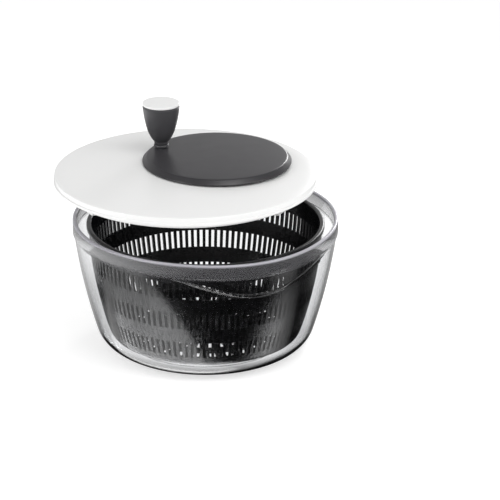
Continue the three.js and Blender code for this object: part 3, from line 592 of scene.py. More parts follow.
def carved(body: bpy.types.Object, tools: Iterable[bpy.types.Object], operation: str) -> bpy.types.Object:
    """Joins or cuts an object with others, which are used up.

    Args:
        body: the object that is worked on.
        tools: the other objects.
        operation: UNION or DIFFERENCE.

    Returns:
        The body, with its new mesh.
    """
    used = list(tools)
    for tool in used:
        step = body.modifiers.new("work", "BOOLEAN")
        step.operation = operation
        step.solver = "EXACT"
        step.object = tool
    graph = bpy.context.evaluated_depsgraph_get()
    data = bpy.data.meshes.new_from_object(body.evaluated_get(graph), depsgraph=graph)
    old = body.data
    body.modifiers.clear()
    body.data = data
    data.name = body.name
    bpy.data.meshes.remove(old)
    for tool in used:
        bpy.data.objects.remove(tool)
    mesh = bmesh.new()
    mesh.from_mesh(body.data)
    bmesh.ops.remove_doubles(mesh, verts=mesh.verts, dist=2e-6)
    for edge in mesh.edges:
        edge.smooth = len(edge.link_faces) == 2 and edge.calc_face_angle(0.0) < SHARP_ANGLE
    mesh.to_mesh(body.data)
    mesh.free()
    return body


class Workshop:
    """Hands finished pieces to the frame and keeps the paint."""

    def __init__(self) -> None:
        """Opens an empty workshop."""
        self.materials: dict[str, bpy.types.Material] = {}
        self.pieces: list[bpy.types.Object] = []

    def paint(self, piece: bpy.types.Object, finish: Finish) -> None:
        """Gives a piece its material, which is made on first use.

        Args:
            piece: the piece.
            finish: what it is made of.
        """
        if finish.name not in self.materials:
            self.materials[finish.name] = new_material(finish.name, finish.paint)
        piece.data.materials.clear()
        piece.data.materials.append(self.materials[finish.name])
        self.pieces.append(piece)

    def fit(self, piece: bpy.types.Object, body: Body, finish: Finish, *nodes: str) -> None:
        """Dresses a piece and puts it on its body.

        Args:
            piece: the finished piece.
            body: the body that it rides on.
            finish: what it is made of.
            nodes: the CAD nodes that it stands for.
        """
        self.paint(piece, finish)
        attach(piece, body.value)
        if nodes:
            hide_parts(*nodes)

    def keep(self, finish: Finish, *nodes: str) -> None:
        """Dresses CAD nodes that stay as they are.

        Args:
            finish: what they are made of.
            nodes: the nodes' names.
        """
        for node in nodes:
            self.paint(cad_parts[node], finish)


def middle(node: str) -> Vector:
    """The middle of a node's footprint, at height 0."""
    low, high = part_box(node)
    return Vector(((low.x + high.x) / 2, (low.y + high.y) / 2, 0.0))


def half_width(node: str) -> float:
    """Half a node's width along X, which is the radius of a round one."""
    low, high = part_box(node)
    return (high.x - low.x) / 2


def turned(
    name: str, outline: Outline, steps: int, place: Vector = Vector(), closed: bool = False
) -> bpy.types.Object:
    """Spins an outline into an object.

    Args:
        name: the object's name.
        outline: radius and height of each point.
        steps: facets round the turn.
        place: where its axis stands and how far it is raised.
        closed: whether the last point joins the first.

    Returns:
        The object.
    """
    return to_object(moved(spun(outline, steps, closed), place), name)


def plug(
    name: str, radius: float, low: float, high: float, place: Vector, steps: int = 48
) -> bpy.types.Object:
    """A plain cylinder that cuts a hole.

    Args:
        name: the object's name.
        radius: its radius.
        low: height of its lower end.
        high: height of its upper end.
        place: where its axis stands.
        steps: facets round it.

    Returns:
        The object.
    """
    return turned(name, [(0, low), (radius, low), (radius, high), (0, high)], steps, place)


# ---- bowl
@dataclass
class Bowl:
    """The clear serving bowl, with its rim band and pouring spout, and the pin that the basket turns on."""

    shop: Workshop
    height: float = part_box("bowl")[1].z
    rim_radius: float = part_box("bowl")[1].x
    rim_width: float = 4 * MM
    wall: float = 2.5 * MM
    floor: float = 3 * MM
    base_radius: float = 80 * MM
    corner_height: float = 20 * MM
    corner_pull: float = 0.68
    foot_pull: float = 11 * MM
    band_height: float = 14 * MM
    band_proud: float = 1.2 * MM
    swell_rows: float = 3 * MM
    taper: float = 0.121
    barrel: float = 0.91
    spout_angle: float = math.radians(-65)
    spout_half_span: float = math.radians(44)
    spout_bulge: float = 4 * MM
    spout_dip: float = 24 * MM
    spout_step: float = 1.8 * MM
    spout_bead: float = 0.9 * MM
    crease: float = 1.6 * MM
    swell_depth: float = 45 * MM
    base_rings: tuple[float, ...] = (58 * MM, 66 * MM, 74 * MM)
    ring_depth: float = 0.7 * MM
    boss_radius: float = 9 * MM
    boss_height: float = 8 * MM
    steps: int = 224

    @property
    def band_level(self) -> float:
        """Height of the band's lower edge away from the spout."""
        return self.height - self.band_height

    def wall_radius(self, height: float) -> float:
        """Outer radius of the wall at a height."""
        below = self.band_level - height
        return self.rim_radius - self.band_proud - self.taper * below - self.barrel * below * below

    def spout_share(self, angle: float) -> float:
        """1 at the middle of the spout, falling smoothly to 0 at its ends.

        Args:
            angle: direction from the axis.

        Returns:
            The share.
        """
        off = abs((angle - self.spout_angle + math.pi) % TURN - math.pi) / self.spout_half_span
        return math.cos(off * math.pi / 2) ** 2 if off < 1 else 0.0

    def outline(self) -> Outline:
        """The bowl's section, up the outside, over the rim and down the inside.

        Returns:
            Its points, from the axis underneath to the axis on top.
        """
        edge, top, rim = self.band_level, self.height, self.rim_radius
        slope = self.taper + 2 * self.barrel * (edge - self.corner_height)
        reach = self.corner_pull * self.corner_height
        foot_handle = self.base_radius + self.foot_pull

        def corner(inset: float, level: float) -> Outline:
            """The curve from the flat base up to the wall.

            Args:
                inset: how far it runs inside the outer wall.
                level: height of its flat end.

            Returns:
                Its points, from the base upwards.
            """
            radius = self.wall_radius(self.corner_height) - inset
            draw = (radius - reach * slope, self.corner_height - reach + 0.6 * level)
            start, end = (self.base_radius, level), (radius, self.corner_height)
            return curve_points(start, (foot_handle, level), draw, end, 16)

        under = edge - self.swell_rows
        rise = [self.corner_height + (under - self.corner_height) * i / 24 for i in range(1, 25)]
        rise += [under + self.swell_rows * i / 14 for i in range(1, 14)]
        outside = [(self.wall_radius(z), z) for z in rise]
        inside = [(self.wall_radius(z) - self.wall, z) for z in reversed(rise)]
        inner_rim = rim - self.rim_width
        rim_corners = rounded([
            (self.wall_radius(rise[-1]), rise[-1], 0),
            (self.wall_radius(edge) + 0.1 * MM, edge - 0.1 * MM, 0.3),
            (rim, edge + 0.2 * MM, 0.6),
            (rim, top, 1.6),
            (inner_rim, top, 1.4),
            (inner_rim, edge + 1 * MM, 4),
            (self.wall_radius(rise[-1]) - self.wall, rise[-1], 0),
        ])
        boss = rounded([
            (self.base_radius, self.floor, 0),
            (self.boss_radius + 4 * MM, self.floor, 2),
            (self.boss_radius, self.boss_height, 1),
            (0, self.boss_height, 0),
        ])
        groove = [(-2 * self.ring_depth, 0.0), (-self.ring_depth, self.ring_depth)]
        groove += [(self.ring_depth, self.ring_depth), (2 * self.ring_depth, 0.0)]
        rings = [(radius + off, z) for radius in self.base_rings for off, z in groove]
        base = [(0.0, 0.0), *rings, (self.base_radius - 3 * MM, 0.0)]
        floor = corner(self.wall, self.floor)[::-1]
        return base + corner(0, 0) + outside[:-1] + rim_corners + inside[1:] + floor + boss[1:]

    def shape_spout(self, mesh: bmesh.types.BMesh) -> None:
        """Swells the wall under the rim into the spout, with a beaded crease along its lower edge.

        Args:
            mesh: the turned bowl.
        """
        start, top, level = self.height - self.swell_depth, self.height, self.band_level
        under = level - self.swell_rows
        for vert in mesh.verts:
            x, y, z = vert.co
            angle = math.atan2(y, x)
            share = self.spout_share(angle)
            if z < start or share == 0:
                continue
            edge = under - (self.spout_dip - self.swell_rows) * share
            if z < under:
                height = start + (z - start) * (edge - start) / (under - start)
            elif z < level:
                height = edge + (z - under) * (level - edge) / self.swell_rows
            else:
                height = z
            along = max(0.0, (height - edge) / (top - edge))
            step = min(1.0, max(0.0, height - edge) / self.crease)
            shelf = self.spout_step * share * step * (1 - 0.35 * min(1.0, along * 1.3))
            bead = self.spout_bead * share * math.exp(-(((height - edge) / self.crease - 1) ** 2) * 3)
            flare = self.spout_bulge * share * along**1.6
            radius = math.hypot(x, y) + flare
            if z < level:
                radius += self.wall_radius(height) - self.wall_radius(z) + shelf + bead
            vert.co = (radius * math.cos(angle), radius * math.sin(angle), height)

    def build(self) -> None:
        """Makes the bowl and its pin."""
        mesh = spun(self.outline(), self.steps)
        self.shape_spout(mesh)
        self.shop.fit(to_object(mesh, "clear_bowl"), Body.BOWL, CLEAR_PLASTIC, "bowl")
        low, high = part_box("pivot_pin")
        radius = half_width("pivot_pin")
        pin = rounded([
            (0, low.z, 0),
            (radius, low.z, 0.3),
            (radius, high.z - 2 * MM, 1.5),
            (radius - 2 * MM, high.z, 1.2),
            (0, high.z, 0),
        ])
        self.shop.fit(turned("basket_pivot_pin", pin, 48), Body.BOWL, STEEL, "pivot_pin")


# ---- basket
@dataclass
class Basket:
    """The black basket: a thin wall with three rows of narrow slots, a slotted floor and a folded rim."""

    shop: Workshop
    floor_level: float = 13 * MM
    thickness: float = 2.0 * MM
    floor_radius: float = 92.5 * MM
    foot_radius: float = 97.5 * MM
    corner: float = 9 * MM
    neck_radius: float = 115 * MM
    rim_radius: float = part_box("basket")[1].x
    rim_top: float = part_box("basket")[1].z
    rim_depth: float = 4 * MM
    slots: int = 112
    slot_rows: tuple[float, ...] = (24 * MM, 57 * MM, 90 * MM)
    slot_height: float = 17.5 * MM
    face_height: float = 6 * MM
    hub_radius: float = 11 * MM
    hub_flange: float = 15 * MM
    floor_rings: tuple[float, ...] = (17 * MM, 34 * MM, 44 * MM, 54 * MM, 64 * MM, 76 * MM)
    floor_slots: tuple[Point, ...] = ((34 * MM, 54 * MM), (64 * MM, 76 * MM))

    @property
    def foot_level(self) -> float:
        """Height at which the rounded foot meets the wall."""
        return self.floor_level + self.corner

    @property
    def rim_bottom(self) -> float:
        """Underside of the folded rim."""
        return self.rim_top - self.rim_depth

    def wall_radius(self, height: float) -> float:
        """Outer radius of the wall at a height."""
        share = max(0.0, (height - self.foot_level) / (self.rim_bottom - self.foot_level))
        return self.foot_radius + (self.neck_radius - self.foot_radius) * math.sin(share * math.pi / 2) ** 0.9

    def heights(self) -> list[float]:
        """Levels of the wall's rows of faces, with one at each end of every slot.

        Returns:
            The levels, from the foot up to the rim.
        """
        levels = [self.foot_level]
        for bottom in self.slot_rows:
            levels += [bottom, bottom + self.slot_height]
        levels += [self.rim_bottom]
        filled: list[float] = []
        for low, high in zip(levels, levels[1:]):
            parts = max(1, round((high - low) / self.face_height))
            filled += [low + (high - low) * i / parts for i in range(parts)]
        return filled + [levels[-1]]

    def wall_mesh(self) -> bmesh.types.BMesh:
        """The skin of wall and floor, with its slots open, given its thickness inwards.

        Returns:
            The mesh.
        """
        corner = curve_points(
            (self.floor_radius - 6 * MM, self.floor_level),
            (self.floor_radius + 1 * MM, self.floor_level),
            (self.foot_radius - 1.5 * MM, self.floor_level + 2 * MM),
            (self.foot_radius, self.foot_level),
            7,
        )
        rings = [(radius, self.floor_level) for radius in self.floor_rings]
        outline = [(self.hub_radius + self.thickness, self.floor_level), *rings, *corner]
        outline += [(self.wall_radius(z), z) for z in self.heights()[1:]]
        count = 2 * self.slots
        mesh = spun(outline, count)
        self.face_outwards(mesh)
        open_faces = [face for face in mesh.faces if self.is_slot(face, count)]
        bmesh.ops.delete(mesh, geom=open_faces, context="FACES")
        bmesh.ops.solidify(mesh, geom=mesh.faces[:], thickness=self.thickness)
        return mesh

    @staticmethod
    def face_outwards(mesh: bmesh.types.BMesh) -> None:
        """Turns an open skin's faces away from its axis or floor.

        Args:
            mesh: the skin.
        """
        widest = max(mesh.faces, key=lambda face: face.calc_center_median().xy.length)
        if widest.normal.xy.dot(widest.calc_center_median().xy) < 0:
            bmesh.ops.reverse_faces(mesh, faces=mesh.faces)

    def is_slot(self, face: bmesh.types.BMFace, count: int) -> bool:
        """Whether a face lies where a slot is.

        Args:
            face: a face of the skin.
            count: columns of faces round the skin.

        Returns:
            True on every second column, within a row of wall slots or a ring of floor slots.
        """
        at = face.calc_center_median()
        column = int(math.floor((math.atan2(at.y, at.x) % TURN) / (TURN / count)))
        if at.z < self.floor_level + 0.5 * MM:
            ring = at.xy.length
            in_ring = any(inner < ring < outer for inner, outer in self.floor_slots)
            return in_ring and column % 8 in (2, 3, 4)
        in_row = any(bottom < at.z < bottom + self.slot_height for bottom in self.slot_rows)
        return in_row and column % 2 == 1

    def build(self) -> None:
        """Makes the basket."""
        basket = to_object(self.wall_mesh(), "slotted_basket")
        inner, neck = self.neck_radius - self.thickness - GAP, self.neck_radius + 0.2 * MM
        lower = self.rim_bottom - 1.5 * MM
        rim = rounded([
            (inner, lower, 0),
            (neck, lower, 0),
            (neck, self.rim_bottom, 0.6),
            (self.rim_radius, self.rim_bottom, 0.5),
            (self.rim_radius, self.rim_top, 1.2),
            (inner, self.rim_top, 1.2),
        ], closed=True)
        self.shop.fit(basket, Body.BASKET, BASKET_BLACK, "basket")
        self.shop.fit(turned("basket_rim", rim, 224, closed=True), Body.BASKET, BASKET_BLACK)
        self.build_hub()

    def build_hub(self) -> None:
        """Makes the hub and its bush."""
        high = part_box("basket_bush")[1]
        bore = half_width("basket_bush") + GAP
        crown = high.z + 2.3 * MM
        foot, floor_top = self.floor_level - 3 * MM, self.floor_level + self.thickness
        hub = rounded([
            (0, high.z + GAP, 0),
            (bore, high.z + GAP, 0),
            (bore, foot, 0.3),
            (bore + 4 * MM, foot, 0.6),
            (self.hub_flange, self.floor_level - 0.2 * MM, 0.4),
            (self.hub_flange, floor_top + 0.2 * MM, 0.5),
            (bore + 3 * MM, floor_top + 1 * MM, 1),
            (bore + 2 * MM, crown, 1.2),
            (0, crown, 0),
        ])
        self.shop.fit(turned("basket_hub", hub, 64), Body.BASKET, BASKET_BLACK)
        self.shop.keep(BUSH_GREY, "basket_bush")


# ---- lid
@dataclass
class Lid:
    """The white lid with its tray and screws. Heights are from the underside of its edge."""

    shop: Workshop
    radius: float = 128.4 * MM
    edge_height: float = 8 * MM
    lip: float = 0.8 * MM
    lip_height: float = 2.6 * MM
    dome: float = 4 * MM
    wall: float = 2.4 * MM
    skirt_top: float = 124 * MM
    skirt_bottom: float = 121.2 * MM
    skirt_wall: float = 2 * MM
    skirt_depth: float = 4.4 * MM
    hole_gap: float = 1 * MM
    dome_reach: float = 118 * MM
    edge_hollow: float = 3 * MM
    tray_radius: float = 66.9 * MM
    tray_drop: float = 9 * MM
    flange_rise: float = 1.7 * MM
    screw_bore: float = 1.9 * MM
    screw_boss: float = 4 * MM
    crank_boss: float = 10 * MM
    crank_boss_top: float = 8 * MM
    spindle_boss: float = 9 * MM
    spindle_boss_drop: float = 12 * MM
    spindle_bore: float = 5.3 * MM
    washer_bore: float = 7.4 * MM
    washer_depth: float = 1.4 * MM
    bush_flange: float = 2 * MM
    tray_floor: float = 2.4 * MM
    tray_wall: float = 2.4 * MM
    tray_flange: float = 2.4 * MM
    axis: Vector = field(default_factory=lambda: middle("lid"))
    crank: Vector = field(default_factory=lambda: middle("crank_disc"))
    seat: float = field(init=False)

    def __post_init__(self) -> None:
        """Finds the height of the underside of the lid's edge, which is level 0 of its outline."""
        self.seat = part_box("lid")[0].z + self.skirt_depth

    def dome_height(self, radius: float) -> float:
        """Height of the top surface at a distance from the lid's axis."""
        return self.edge_height + self.dome * (1 - (radius / self.radius) ** 2)

    def outline(self) -> Outline:
        """The lid's section, along the underside, round the skirt and edge and back over the top.

        Returns:
            Its points, from the axis underneath to the axis on top.
        """
        radius, wall = self.radius, self.wall
        rings = [radius * i / 24 for i in range(1, 23)]
        under = [(r, self.dome_height(r) - wall) for r in rings if r < self.dome_reach]
        edge = rounded([
            (under[-1][0], under[-1][1], 0),
            (self.skirt_top - self.skirt_wall - 1 * MM, self.dome_height(self.skirt_top) - wall, 1.5),
            (self.skirt_bottom - self.skirt_wall, -self.skirt_depth, 0.7),
            (self.skirt_bottom, -self.skirt_depth, 0.7),
            (self.skirt_top, 0, 1),
            (self.skirt_top + 0.2 * MM, self.edge_hollow, 0.8),
            (radius - wall, self.edge_hollow, 0.8),
            (radius - wall, 0, 0.4),
            (radius + self.lip, 0, 0.5),
            (radius + self.lip, self.lip_height, 0.5),
            (radius, self.lip_height + 0.3 * MM, 0.3),
            (radius, self.dome_height(radius), 1.1),
            (rings[-1], self.dome_height(rings[-1]), 0),
        ])
        over = [(r, self.dome_height(r)) for r in reversed(rings[:-1])]
        return [(0.0, self.dome_height(0) - wall), *under, *edge[1:], *over, (0.0, self.dome_height(0))]

    @staticmethod
    def screw_nodes() -> list[str]:
        """Names of the tray's screws."""
        return sorted(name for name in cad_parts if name.startswith("tray_screw_"))

    def build_shell(self) -> None:
        """Makes the lid, with its opening for the tray and its screw bosses."""
        seat = Vector((0, 0, self.seat))
        lid = turned("white_lid", self.outline(), 240, self.axis + seat)
        reach = self.tray_radius + self.hole_gap
        cutter = plug("opening", reach, -OVERSHOOT, 3 * OVERSHOOT, self.crank + seat, 160)
        carved(lid, [cutter], "DIFFERENCE")
        foot = self.seat + self.flange_rise + GAP
        inner, outer = self.screw_bore, self.screw_boss
        bosses = []
        for node in self.screw_nodes():
            place = middle(node)
            top = self.seat + self.dome_height((place - self.axis).length) - self.wall / 2
            boss = rounded([(inner, foot, 0), (outer, foot, 0.5), (outer, top, 0), (inner, top, 0)], True)
            bosses.append(turned(f"boss_of_{node}", boss, 32, place, closed=True))
        carved(lid, bosses, "UNION")
        self.shop.fit(lid, Body.LID, LID_WHITE, "lid")

    def build_tray(self) -> None:
        """Makes the gear tray with its flange and the bosses of its two bearings."""
        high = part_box("gear_tray")[1]
        outer, inner = self.tray_radius, self.tray_radius - self.tray_wall
        flange_radius = half_width("gear_tray")
        flange_top = self.seat + self.flange_rise
        bottom = self.seat - self.tray_drop
        floor_top = bottom + self.tray_floor
        section = rounded([
            (0, bottom, 0),
            (outer, bottom, 2.2),
            (outer, flange_top - self.tray_flange, 0.6),
            (flange_radius, flange_top - self.tray_flange, 0.6),
            (flange_radius, flange_top, 0.6),
            (outer, flange_top, 0.4),
            (outer, high.z, 0.8),
            (inner, high.z, 0.8),
            (inner, floor_top, 1),
            (0, floor_top, 0),
        ])
        tray = turned("gear_tray_shell", section, 192, self.crank)
        spindle = middle("drive_spindle")
        low, radius = bottom + 0.5 * MM, self.crank_boss
        top = self.seat + self.crank_boss_top
        crank_boss = rounded([(0, low, 0), (radius, low, 0), (radius, top, 0.8), (0, top, 0)])
        low, radius = self.seat - self.spindle_boss_drop, self.spindle_boss
        top = floor_top - 0.4 * MM
        spindle_boss = rounded([(0, low, 0), (radius, low, 0.8), (radius, top, 0), (0, top, 0)])
        joined = [
            turned("crank_boss", crank_boss, 64, self.crank),
            turned("spindle_boss", spindle_boss, 64, spindle),
        ]
        carved(tray, joined, "UNION")
        bush = half_width("crank_bush") - self.bush_flange + GAP
        washer_top = self.seat - self.washer_depth
        cuts = [
            plug("spindle_hole", self.spindle_bore, bottom - OVERSHOOT, floor_top + OVERSHOOT, spindle),
            plug("crank_hole", bush, bottom - MM, self.seat + 2 * OVERSHOOT, self.crank),
            plug("crank_counterbore", self.washer_bore, bottom - OVERSHOOT, washer_top, self.crank),
        ]
        for node in self.screw_nodes():
            top = flange_top + OVERSHOOT
            cuts.append(plug(f"hole_for_{node}", self.screw_bore, bottom, top, middle(node)))
        carved(tray, cuts, "DIFFERENCE")
        self.shop.fit(tray, Body.LID, TRAY_WHITE, "gear_tray")

    def build(self) -> None:
        """Makes the lid, its tray and the tray's screws."""
        self.build_shell()
        self.build_tray()
        for name in self.screw_nodes():
            PanScrew(self.shop, name, Body.LID).build()
        self.shop.keep(BUSH_GREY, "spindle_bush", "crank_bush")


@dataclass
class PanScrew:
    """A pan-headed screw with a cross recess, sized from its node. Its head is its lower or upper end."""

    shop: Workshop
    node: str
    body: Body
    head: float = 2 * MM
    shank: float = 1.6 * MM
    head_up: bool = False

    def build(self) -> None:
        """Makes the screw."""
        low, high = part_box(self.node)
        radius = half_width(self.node)
        length = high.z - low.z
        section = rounded([
            (0, 0, 0),
            (radius * 0.75, 0, 0.8),
            (radius, self.head * 0.5, 0.8),
            (radius, self.head, 0.25),
            (self.shank, self.head, 0.1),
            (self.shank, length - 0.8 * MM, 0.2),
            (self.shank * 0.5, length, 0.2),
            (0, length, 0),
        ])
        screw = turned(f"{self.node}_turned", section, 40)
        slots = []
        for i, (along, across) in enumerate(((0.58, 0.16), (0.16, 0.58))):
            reach, half = radius * along, radius * across
            bar = block((-reach, -half, -0.5 * MM), (reach, half, self.head * 0.62), 0.0)
            slots.append(to_object(bar, f"recess_{i}"))
        carved(screw, slots, "DIFFERENCE")
        foot = high.z if self.head_up else low.z
        place = Matrix.Translation(middle(self.node) + Vector((0, 0, foot)))
        half_turn = Matrix.Rotation(math.pi, 4, "X")
        screw.data.transform(place @ half_turn if self.head_up else place)
        self.shop.fit(screw, self.body, STEEL, self.node)


# ---- crank
@dataclass
class Crank:
    """The anthracite crank disc with its hub, gear carrier and ring gear."""

    shop: Workshop
    skirt_bottom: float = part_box("lid")[0].z + 17 * MM
    top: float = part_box("crank_disc")[1].z
    wall: float = 2.6 * MM
    slope: float = 4.2 * MM
    edge: float = 1.0 * MM
    crown: float = 1.2 * MM
    hub: float = 8 * MM
    hub_clearance: float = 1.1 * MM
    carrier_wall: float = 2 * MM
    shoulder: float = 5 * MM
    post_bore: float = 2.9 * MM
    axle_bore: float = 3.3 * MM
    hole_span: Point = (150 * MM, 250 * MM)
    axis: Vector = field(default_factory=lambda: middle("crank_disc"))

    def outline(self) -> Outline:
        """The disc's section, from its hub under the disc out to the edge and over the top.

        Returns:
            Its points, from the axis underneath to the axis on top.
        """
        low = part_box("crank_disc")[0]
        radius = half_width("crank_disc")
        carrier = half_width("ring_gear") + GAP
        rim = carrier + self.carrier_wall
        bend = radius - self.slope - self.shoulder
        underside = self.top - self.wall
        hub_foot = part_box("crank_bush")[1].z + self.hub_clearance
        inner = radius - self.wall - self.slope / 2
        inside = rounded([
            (0, hub_foot, 0),
            (self.hub, hub_foot, 0.6),
            (self.hub, underside, 1),
            (carrier, underside, 0.3),
            (carrier, low.z, 0.4),
            (rim, low.z, 0.4),
            (rim, underside, 0.8),
            (inner, underside, 0.8),
            (radius - self.wall, self.skirt_bottom, 0.4),
            (radius, self.skirt_bottom, 0.4),
            (radius, self.skirt_bottom + self.edge, 0.8),
            (radius - self.slope, self.top - self.crown, 2.4),
            (bend, self.crown_height(bend), 0),
        ])
        shares = (0.8, 0.65, 0.5, 0.35, 0.2, 0.1, 0.0)
        return [*inside, *((radius * share, self.crown_height(radius * share)) for share in shares)]

    def crown_height(self, radius: float) -> float:
        """Height of the disc's top at a distance from its axis."""
        return self.top - self.crown * (radius / (half_width("crank_disc") - self.slope)) ** 2

    def build(self) -> None:
        """Makes the disc."""
        disc = turned("crank_plate", self.outline(), 192, self.axis)
        axle_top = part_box("crank_axle")[1].z + GAP
        cuts = [
            plug("post_hole", self.post_bore, *self.hole_span, middle("knob_post"), 40),
            plug("axle_hole", self.axle_bore, self.hole_span[0], axle_top, self.axis, 40),
        ]
        carved(disc, cuts, "DIFFERENCE")
        self.shop.fit(disc, Body.CRANK, ANTHRACITE, "crank_disc")
        self.shop.keep(TRAY_WHITE, "ring_gear")
        self.shop.keep(STEEL, "crank_axle", "crank_washer", "knob_post", "knob_washer")
        PanScrew(self.shop, "crank_screw", Body.CRANK).build()
        PanScrew(self.shop, "knob_screw", Body.CRANK, shank=1.4 * MM, head_up=True).build()


# ---- knob
@dataclass
class Knob:
    """The egg-cup knob with its neck collar and white cap."""

    shop: Workshop
    foot_radius: float = 7 * MM
    foot_height: float = 6 * MM
    bore: float = 4.4 * MM
    collar_bore: float = 2.9 * MM
    waist: float = 0.43
    rebate: float = 0.55 * MM
    cap_plug: float = 7.7 * MM
    cap_crown: float = 0.8 * MM
    base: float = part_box("crank_disc")[1].z
    axis: Vector = field(default_factory=lambda: middle("knob_body"))

    def build(self) -> None:
        """Makes the knob's body, collar and cap."""
        low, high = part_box("knob_body")
        top_radius, top = half_width("knob_body"), high.z
        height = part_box("knob_cap")[1].z - self.base
        foot = self.base + self.foot_height
        side = curve_points(
            (self.foot_radius, foot),
            (self.foot_radius + 5 * MM, foot + 5 * MM),
            (top_radius - 2.3 * MM, self.base + height * self.waist),
            (top_radius, top - 1.6 * MM),
            28,
        )
        well_radius = self.cap_plug + GAP
        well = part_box("knob_sleeve")[1].z + GAP
        section = rounded([
            *[(r, z, 0) for r, z in side],
            (top_radius - self.rebate, top - 1.3 * MM, 0.2),
            (top_radius - self.rebate, top, 0.2),
            (well_radius, top, 0.4),
            (well_radius, well, 0.4),
            (self.bore, well, 0.2),
            (self.bore, low.z, 0.3),
            (self.foot_radius, low.z, 0.6),
        ], closed=True)
        body = turned("knob_grip", section, 96, self.axis, closed=True)
        self.shop.fit(body, Body.KNOB, KNOB_ANTHRACITE, "knob_body")
        cap_low, cap_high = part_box("knob_cap")
        seat, shoulder = top + GAP, cap_high.z - self.cap_crown
        cap = rounded([
            (0, cap_low.z, 0),
            (self.cap_plug, cap_low.z, 0.5),
            (self.cap_plug, seat, 0.3),
            (top_radius, seat, 0.3),
            (top_radius, shoulder, 0.9),
            (top_radius * 0.94, shoulder + 0.12 * MM, 0.2),
            (top_radius * 0.5, cap_high.z - 0.2 * MM, 6),
            (0, cap_high.z, 0),
        ])
        self.shop.fit(turned("knob_top_cap", cap, 96, self.axis), Body.KNOB, LID_WHITE, "knob_cap")
        collar_low, collar_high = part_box("knob_collar")
        collar_radius = half_width("knob_collar")
        collar = rounded([
            (self.collar_bore, collar_low.z, 0.2),
            (collar_radius, collar_low.z, 0.4),
            (collar_radius, collar_high.z, 1),
            (self.collar_bore, collar_high.z, 0.2),
        ], closed=True)
        neck = turned("knob_neck", collar, 64, self.axis, closed=True)
        self.shop.fit(neck, Body.CRANK, KNOB_ANTHRACITE, "knob_collar")
        self.shop.keep(BUSH_GREY, "knob_sleeve")


# ---- drive
@dataclass
class Drive:
    """The spindle with its pinion above the tray and its three arms below."""

    shop: Workshop
    arm_width: float = 12 * MM
    arm_count: int = 3
    arm_start: float = math.radians(90)
    arm_root: float = 28 * MM
    hub_radius: float = 34 * MM
    plate: float = 3 * MM
    rib_half: float = 1 * MM
    rib_short: float = 8 * MM
    bore: float = 3.3 * MM
    bore_span: Point = (100 * MM, 200 * MM)
    axis: Vector = field(default_factory=lambda: middle("drive_spindle"))

    def build(self) -> None:
        """Makes the arms and dresses the rest."""
        low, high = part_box("drive_arms")
        reach = high.y - self.axis.y
        top = low.z + self.plate
        hub = rounded([
            (0, low.z, 0),
            (self.hub_radius, low.z, 0.6),
            (self.hub_radius, top, 0.6),
            (0, top, 0),
        ])
        arms = turned("basket_driver", hub, 96, self.axis)
        joined = []
        for i in range(self.arm_count):
            turn = Matrix.Rotation(self.arm_start + i * TURN / self.arm_count, 3, "Z")
            for name, half, start, end, bottom, crown in (
                ("arm", self.arm_width / 2, self.arm_root, reach, low.z, top),
                ("rib", self.rib_half, self.arm_root, reach - self.rib_short, top - 0.5 * MM, high.z),
            ):
                bar = block((start, -half, bottom), (end, half, crown), 0.5 * MM)
                bmesh.ops.rotate(bar, verts=bar.verts, cent=(0, 0, 0), matrix=turn)
                joined.append(to_object(moved(bar, self.axis), f"{name}_{i}"))
        carved(arms, joined, "UNION")
        carved(arms, [plug("bore", self.bore, *self.bore_span, self.axis, 40)], "DIFFERENCE")
        self.shop.fit(arms, Body.DRIVE, TRAY_WHITE, "drive_arms")
        PanScrew(self.shop, "arms_screw", Body.DRIVE).build()
        self.shop.keep(BUSH_GREY, "pinion")
        self.shop.keep(STEEL, "drive_spindle", "pinion_clip", "spindle_washer")


# ---- studio
@dataclass
class Softbox:
    """One soft light."""

    name: str
    place: tuple[float, float, float]
    aim: tuple[float, float, float]
    size: tuple[float, float]
    power: float

    def build(self) -> None:
        """Hangs the light."""
        light = bpy.data.lights.new(self.name, "AREA")
        light.shape = "RECTANGLE"
        light.size, light.size_y = self.size
        light.energy = self.power
        lamp = bpy.data.objects.new(self.name, light)
        towards = Vector(self.aim) - Vector(self.place)
        lamp.location = self.place
        lamp.visible_camera = False
        lamp.rotation_euler = towards.to_track_quat("-Z", "Y").to_euler()
        bpy.context.scene.collection.objects.link(lamp)


